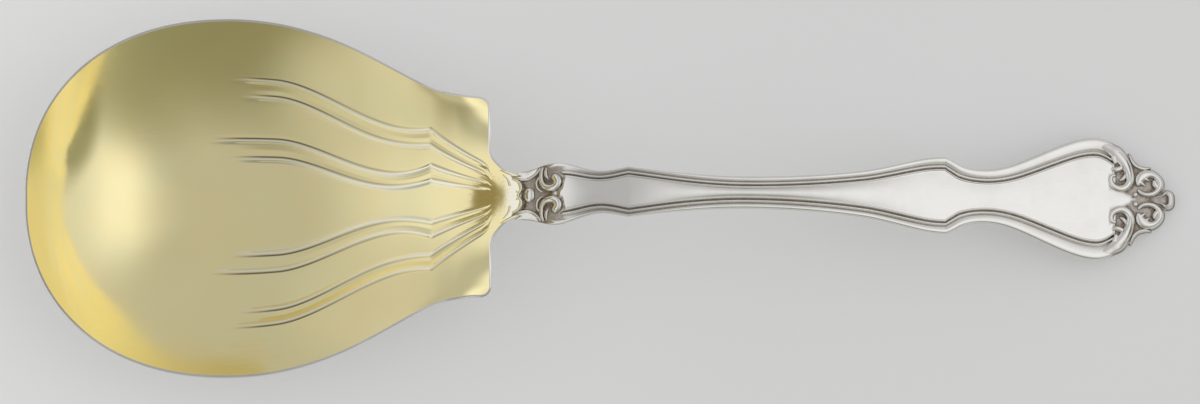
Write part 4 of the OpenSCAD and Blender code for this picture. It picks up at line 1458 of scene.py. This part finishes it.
class Nodes:
    """Short hand for wiring a node tree."""

    SCRATCH_DETAIL, SCRATCH_EDGE, SCRATCH_DEPTH = 2.0, (0.62, 0.74), 0.00002

    def __init__(self, tree: bpy.types.NodeTree) -> None:
        """Starts an empty tree."""
        self.tree = tree
        tree.nodes.clear()

    def add(self, kind: str, **values: object) -> bpy.types.Node:
        """Adds a node and sets its properties.

        Args:
            kind: node type.
            values: properties by name.

        Returns:
            The new node.
        """
        node = self.tree.nodes.new(kind)
        for name, value in values.items():
            setattr(node, name, value)
        return node

    def link(self, source: Socket, target: Socket) -> None:
        """Joins two sockets."""
        self.tree.links.new(source, target)

    def spot(self) -> Socket:
        """Returns the piece's own coordinates in metres."""
        return self.add("ShaderNodeTexCoord").outputs["Object"]

    def share(self, name: str) -> Socket:
        """Returns a share that is written on the piece."""
        return self.add("ShaderNodeAttribute", attribute_name=name).outputs["Fac"]

    def noise(self, scale: tuple[float, float, float], detail: float, turn: float = 0.0) -> Socket:
        """Returns a noise on the piece's own coordinates.

        Args:
            scale: waves in a metre along each axis.
            detail: number of finer layers.
            turn: turn about Z in degrees.

        Returns:
            The socket of the noise's level.
        """
        mapping = self.add("ShaderNodeMapping")
        mapping.inputs["Rotation"].default_value = (0, 0, math.radians(turn))
        mapping.inputs["Scale"].default_value = scale
        texture = self.add("ShaderNodeTexNoise")
        texture.inputs["Scale"].default_value = 1.0
        texture.inputs["Detail"].default_value = detail
        self.link(self.spot(), mapping.inputs["Vector"])
        self.link(mapping.outputs["Vector"], texture.inputs["Vector"])
        return texture.outputs["Fac"]

    def facing(self, source: Socket, towards: tuple[float, float, float]) -> Socket:
        """Returns how far a direction lies towards another one.

        Args:
            source: the direction.
            towards: the other one.

        Returns:
            The socket of the level.
        """
        node = self.add("ShaderNodeVectorMath", operation="DOT_PRODUCT")
        self.link(source, node.inputs[0])
        node.inputs[1].default_value = towards
        return node.outputs["Value"]

    def ramp(self, source: Socket, low: float, high: float, start: float = 0.0, end: float = 1.0) -> Socket:
        """Returns a level eased from start where the source is low to end where it is high.

        Args:
            source: the socket to read.
            low: level at which the ramp starts.
            high: level at which it ends.
            start: result up to low.
            end: result from high on.

        Returns:
            The socket of the result.
        """
        node = self.add("ShaderNodeMapRange", clamp=True, interpolation_type="SMOOTHSTEP")
        for name, value in zip(("From Min", "From Max", "To Min", "To Max"), (low, high, start, end)):
            node.inputs[name].default_value = value
        self.link(source, node.inputs["Value"])
        return node.outputs["Result"]

    def sums(self, operation: str, a: Socket, b: Socket | float) -> Socket:
        """Returns the result of an operation on two levels.

        Args:
            operation: name of the operation.
            a: first level.
            b: second level.

        Returns:
            The socket of the result.
        """
        node = self.add("ShaderNodeMath", operation=operation)
        self.link(a, node.inputs[0])
        if isinstance(b, float):
            node.inputs[1].default_value = b
        else:
            self.link(b, node.inputs[1])
        return node.outputs[0]

    def times(self, a: Socket, b: Socket) -> Socket:
        """Returns the product of two colours.

        Args:
            a: first colour.
            b: second colour.

        Returns:
            The socket of the product.
        """
        node = self.add("ShaderNodeVectorMath", operation="MULTIPLY")
        for socket, value in zip(node.inputs, (a, b)):
            self.link(value, socket)
        return node.outputs["Vector"]

    def blend(self, share: Socket, a: Tone | Socket, b: Tone | Socket) -> Socket:
        """Returns a colour a share of the way from a to b.

        Args:
            share: the share.
            a: colour at 0.
            b: colour at 1.

        Returns:
            The socket of the colour.
        """
        node = self.add("ShaderNodeMix", data_type="RGBA")
        self.link(share, node.inputs[0])
        for value, socket in zip((a, b), (s for s in node.inputs if s.type == "RGBA")):
            if isinstance(value, tuple):
                socket.default_value = (*value, 1.0)
            else:
                self.link(value, socket)
        return next(s for s in node.outputs if s.type == "RGBA")

    def scratches(self, *layers: tuple[tuple[float, float, float], float], strength: float) -> Socket:
        """Returns a normal with fine scratches, each layer a scale and a turn in degrees.

        Args:
            layers: scale and turn of each set of lines.
            strength: strength of the bump.

        Returns:
            The socket of the normal.
        """
        level = None
        for scale, turn in layers:
            lines = self.ramp(self.noise(scale, self.SCRATCH_DETAIL, turn), *self.SCRATCH_EDGE)
            level = lines if level is None else self.sums("MAXIMUM", level, lines)
        bump = self.add("ShaderNodeBump", invert=True)
        bump.inputs["Strength"].default_value = strength
        bump.inputs["Distance"].default_value = self.SCRATCH_DEPTH
        self.link(level, bump.inputs["Height"])
        return bump.outputs["Normal"]


@dataclass(frozen=True)
class Finish:
    """A finish: the slot that it fills and the material that shows it."""

    slot: str
    name: str

    def material(self) -> bpy.types.Material:
        """Returns the finish as a material, made once.

        Returns:
            The material.
        """
        made = bpy.data.materials.get(self.name)
        if made is None:
            made = bpy.data.materials.new(self.name)
            made.use_nodes = True
            nodes = Nodes(made.node_tree)
            out = nodes.add("ShaderNodeOutputMaterial")
            shader = nodes.add("ShaderNodeBsdfPrincipled")
            shader.inputs["Metallic"].default_value = 1.0
            nodes.link(shader.outputs["BSDF"], out.inputs["Surface"])
            self.wire(nodes, shader)
        return made

    def wire(self, nodes: Nodes, shader: bpy.types.Node) -> None:
        """Wires the shader's colour, roughness and normal."""
        raise NotImplementedError


@dataclass(frozen=True)
class Silver(Finish):
    """Polished silver, darkened in its recesses and finely scratched."""

    slot: str = "silver"
    name: str = "polished_silver"
    polished: Tone = (0.81, 0.8, 0.775)
    dull: Tone = (0.735, 0.715, 0.67)
    oxide: Tone = (0.17, 0.125, 0.088)
    roughness: tuple[float, float] = (0.13, 0.22)
    oxide_roughness: float = 0.25
    scratch: float = 0.16

    def wire(self, nodes: Nodes, shader: bpy.types.Node) -> None:
        """Wires clouded silver, brown recesses and lengthwise scratches.

        Args:
            nodes: the node tree of the material.
            shader: the shader to wire.
        """
        cloud = nodes.ramp(nodes.noise((160, 160, 160), 4.0), 0.4, 0.75, 0.0, 0.5)
        tone = nodes.blend(cloud, self.polished, self.dull)
        grain = nodes.ramp(nodes.noise((2200, 2200, 2200), 3.0), 0.3, 0.7, 0.8, 1.0)
        dark = nodes.sums("MULTIPLY", nodes.share("oxide"), grain)
        nodes.link(nodes.blend(dark, tone, self.oxide), shader.inputs["Base Color"])
        rub = nodes.ramp(nodes.noise((260, 2600, 2600), 2.0, 3.0), 0.35, 0.8, *self.roughness)
        rough = nodes.sums("ADD", rub, nodes.sums("MULTIPLY", dark, self.oxide_roughness))
        nodes.link(rough, shader.inputs["Roughness"])
        lines = nodes.scratches(((150, 5200, 5200), 2.0), ((190, 4300, 4300), -9.0), strength=self.scratch)
        nodes.link(lines, shader.inputs["Normal"])


@dataclass(frozen=True)
class Gold(Finish):
    """Pale gold wash, polished, clouded and finely scratched, with a painted highlight and painted shade
    along its ribs.
    """

    slot: str = "gilding"
    name: str = "gold_wash"
    bright: Tone = (0.95, 0.83, 0.46)
    worn: Tone = (0.925, 0.84, 0.48)
    # Bare silver where the gilding is worn, also used as a painted highlight on the ribs' crests.
    silver: Tone = (0.95, 0.95, 0.92)
    # Colour of the painted shade along the ribs' outer feet.
    tarnish: Tone = (0.14, 0.11, 0.06)
    roughness: tuple[float, float] = (0.1, 0.16)
    scratch: float = 0.2

    def wire(self, nodes: Nodes, shader: bpy.types.Node) -> None:
        """Wires clouded gold, rubbed off on the ribs, with a painted highlight on their crests and painted
        shade at their outer feet, and scratches that cross each other.

        Args:
            nodes: the node tree of the material.
            shader: the shader to wire.
        """
        cloud = nodes.ramp(nodes.noise((70, 70, 70), 5.0), 0.38, 0.68)
        tone = nodes.blend(cloud, self.bright, self.worn)
        # Bare silver where the gilding is worn; on the inner side of the ribs' crests it is also a painted
        # highlight.
        tone = nodes.blend(nodes.share("wear_and_sheen"), tone, self.silver)
        # Painted shade: a dark line along the ribs' outer feet.
        nodes.link(nodes.blend(nodes.share("tarnish"), tone, self.tarnish), shader.inputs["Base Color"])
        rub = nodes.ramp(nodes.noise((130, 130, 130), 4.0), 0.3, 0.75, *self.roughness)
        nodes.link(rub, shader.inputs["Roughness"])
        lines = nodes.scratches(((110, 3400, 900), 24.0), ((130, 3000, 900), -38.0), ((90, 3800, 900), 80.0),
                                strength=self.scratch)
        nodes.link(lines, shader.inputs["Normal"])


@dataclass(frozen=True)
class Solder(Finish):
    """Dull hard solder with a granular skin."""

    slot: str = "solder"
    name: str = "hard_solder"
    bright: Tone = (0.74, 0.72, 0.67)
    dull: Tone = (0.6, 0.57, 0.51)
    roughness: tuple[float, float] = (0.35, 0.5)

    def wire(self, nodes: Nodes, shader: bpy.types.Node) -> None:
        """Wires mottled solder.

        Args:
            nodes: the node tree of the material.
            shader: the shader to wire.
        """
        cloud = nodes.ramp(nodes.noise((900, 900, 900), 4.0), 0.35, 0.7)
        nodes.link(nodes.blend(cloud, self.bright, self.dull), shader.inputs["Base Color"])
        nodes.link(nodes.ramp(cloud, 0.0, 1.0, *self.roughness), shader.inputs["Roughness"])


def hand_over(obj: Obj, finish: Finish, node: str) -> None:
    """Gives a piece its finish and lets it stand for a node of the frame.

    Args:
        obj: the finished piece.
        finish: its finish.
        node: the node that it replaces.
    """
    obj.data.materials.clear()
    obj.data.materials.append(finish.material())
    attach(obj, ROOT)
    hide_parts(node)
    LOG.info("%s stands for %s with %d faces", obj.name, node, len(obj.data.polygons))


@dataclass(frozen=True)
class Lobe:
    """Part of the room that is lighter or darker, by how far it lies in a direction."""

    towards: tuple[float, float, float]
    start: float
    end: float
    level: float = 1.0

    def shown(self, n: Nodes, where: Socket) -> Socket:
        """Returns the lobe's level in a direction."""
        return n.ramp(n.facing(where, self.towards), self.start, self.end, 0.0, self.level)


@dataclass(frozen=True)
class Dusk:
    """Part of the room that is darkened towards a tone, where all its lobes meet."""

    tone: Tone
    lobes: tuple[Lobe, ...]

    def shown(self, n: Nodes, where: Socket) -> Socket:
        """Returns the tint of the dusk in a direction, white outside it.

        Args:
            n: the node tree of the world.
            where: the direction.

        Returns:
            The socket of the tint.
        """
        share = self.lobes[0].shown(n, where)
        for lobe in self.lobes[1:]:
            share = n.sums("MULTIPLY", share, lobe.shown(n, where))
        return n.blend(share, (1.0, 1.0, 1.0), self.tone)


@dataclass(frozen=True)
class Studio:
    """Pale floor, a soft room of light and a camera that looks down."""

    floor_size: float = 4.0
    # Painted light: the floor's glow for the camera and for reflections, lighter on the left and darker on
    # the right.
    floor_glow_lit: Tone = (0.98, 0.98, 0.985)
    floor_glow_shaded: Tone = (0.64, 0.64, 0.66)
    floor_glow_falloff: tuple[float, float] = (-0.15, 0.05)
    floor_paper: Tone = (0.95, 0.95, 0.95)
    paper_shade: float = 0.985
    floor_own: float = 0.25
    room_level: float = 0.53
    panel_level: float = 0.5
    panel_near: tuple[float, float] = (0.0, 0.5)
    panel_far: tuple[float, float, float, float] = (0.62, 1.05, 1.0, 0.45)
    panel_ends: tuple[float, float, float, float] = (0.05, 1.15, 1.0, 0.0)
    room: tuple[Lobe, ...] = (
        Lobe((-1.0, 0.0, 0.0), 0.25, 0.8, 0.36),
    )
    dusk: tuple[Dusk, ...] = (
        Dusk((0.53, 0.53, 0.39), (Lobe((0.0, -1.0, 0.0), 0.42, 1.0), Lobe((1.0, 0.0, 0.0), -0.62, -0.2))),
        Dusk((0.45, 0.45, 0.34), (Lobe((0.9, -0.43, 0.0), 0.84, 0.96),)),
        Dusk((0.33, 0.28, 0.15), (Lobe((-0.98, 0.15, 0.0), 0.74, 0.84), Lobe((0.0, 0.0, -1.0), -0.43, -0.4))),
    )
    lens: float = 500.0
    frame_width: float = 0.2398
    lean: float = 6.4
    roll: float = -0.43
    aim: tuple[float, float, float] = (-0.0003, -0.00045, 0.010)

    def floor(self) -> None:
        """Lays a pale floor that keeps a soft shadow, with a painted glow for the camera and for reflections
        that is lighter on the left and darker on the right.
        """
        Bench.clear()
        bpy.ops.mesh.primitive_plane_add(size=self.floor_size)
        plane = bpy.context.object
        plane.name = "floor"
        material = bpy.data.materials.new("floor_paper")
        material.use_nodes = True
        n = Nodes(material.node_tree)
        out = n.add("ShaderNodeOutputMaterial")
        paper = n.add("ShaderNodeBsdfDiffuse")
        grain = n.ramp(n.noise((9, 9, 9), 2.0), 0.3, 0.7)
        shade = tuple(c * self.paper_shade for c in self.floor_paper)
        n.link(n.blend(grain, self.floor_paper, shade), paper.inputs["Color"])
        split = n.add("ShaderNodeSeparateXYZ")
        n.link(n.spot(), split.inputs["Vector"])
        # Painted light: the glow fades from light on the left to darker on the right.
        across = n.ramp(split.outputs["X"], *self.floor_glow_falloff)
        pale = n.add("ShaderNodeEmission")
        n.link(n.blend(across, self.floor_glow_lit, self.floor_glow_shaded), pale.inputs["Color"])
        path = n.add("ShaderNodeLightPath")
        seen = n.sums("MAXIMUM", path.outputs["Is Camera Ray"], path.outputs["Is Glossy Ray"])
        seen = n.sums("MAXIMUM", seen, path.outputs["Is Transmission Ray"])
        mixed = n.add("ShaderNodeMixShader")
        n.link(n.sums("MULTIPLY", seen, self.floor_own), mixed.inputs["Fac"])
        n.link(paper.outputs["BSDF"], mixed.inputs[1])
        n.link(pale.outputs["Emission"], mixed.inputs[2])
        n.link(mixed.outputs["Shader"], out.inputs["Surface"])
        plane.data.materials.append(material)

    def light(self) -> None:
        """Lights the spoon with a room whose level depends on the direction alone."""
        world = bpy.data.worlds.new("room")
        bpy.context.scene.world = world
        world.use_nodes = True
        n = Nodes(world.node_tree)
        out = n.add("ShaderNodeOutputWorld")
        back = n.add("ShaderNodeBackground")
        where = n.add("ShaderNodeTexCoord").outputs["Generated"]
        ahead = n.facing(where, (1.0, 0.0, 0.0))
        aside = n.sums("ABSOLUTE", n.facing(where, (0.0, 1.0, 0.0)), 0.0)
        level = n.ramp(ahead, *self.panel_near, 0.0, self.panel_level)
        level = n.sums("MULTIPLY", level, n.ramp(ahead, *self.panel_far))
        level = n.sums("MULTIPLY", level, n.ramp(aside, *self.panel_ends))
        level = n.sums("ADD", level, self.room_level)
        for lobe in self.room:
            level = n.sums("ADD", level, lobe.shown(n, where))
        for dusk in self.dusk:
            level = n.times(level, dusk.shown(n, where))
        n.link(level, back.inputs["Color"])
        n.link(back.outputs["Background"], out.inputs["Surface"])

    def camera(self) -> None:
        """Sets up the camera above the spoon, leaning a little towards its right side."""
        Bench.clear()
        bpy.ops.object.camera_add()
        camera = bpy.context.object
        camera.data.lens = self.lens
        distance = self.frame_width * self.lens / camera.data.sensor_width
        lean = math.radians(self.lean)
        back = Vector((0.0, -math.sin(lean), math.cos(lean)))
        camera.location = Vector(self.aim) + back * distance
        camera.rotation_mode = "QUATERNION"
        turn = Quaternion(back, math.radians(self.roll))
        camera.rotation_quaternion = turn @ (-back).to_track_quat("-Z", "Y")
        bpy.context.scene.camera = camera
        bpy.context.scene.view_settings.view_transform = "Standard"


def main() -> None:
    """Builds the spoon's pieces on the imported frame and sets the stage."""
    logging.basicConfig(level=logging.INFO, format="%(name)s: %(message)s")
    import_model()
    silver, gold = Silver(), Gold()
    bowl_form = BowlForm()
    bowl = Bowl(bowl_form, BowlGrid(bowl_form))
    bowl.build()
    bowl.dress(silver, gold)
    handle_form = HandleForm(bowl_form)
    relief_map = ReliefMap(handle_form, PAIRED + SINGLE)
    handle = Handle(handle_form, relief_map)
    handle.build()
    handle.dress(silver)
    joint = Joint(handle_form)
    joint.build()
    joint.dress(Solder())
    ornaments = Ornaments(handle_form, relief_map)
    ornaments.build()
    ornaments.dress(silver, gold)
    studio = Studio()
    studio.floor()
    studio.light()
    studio.camera()


if __name__ == "__main__":
    main()
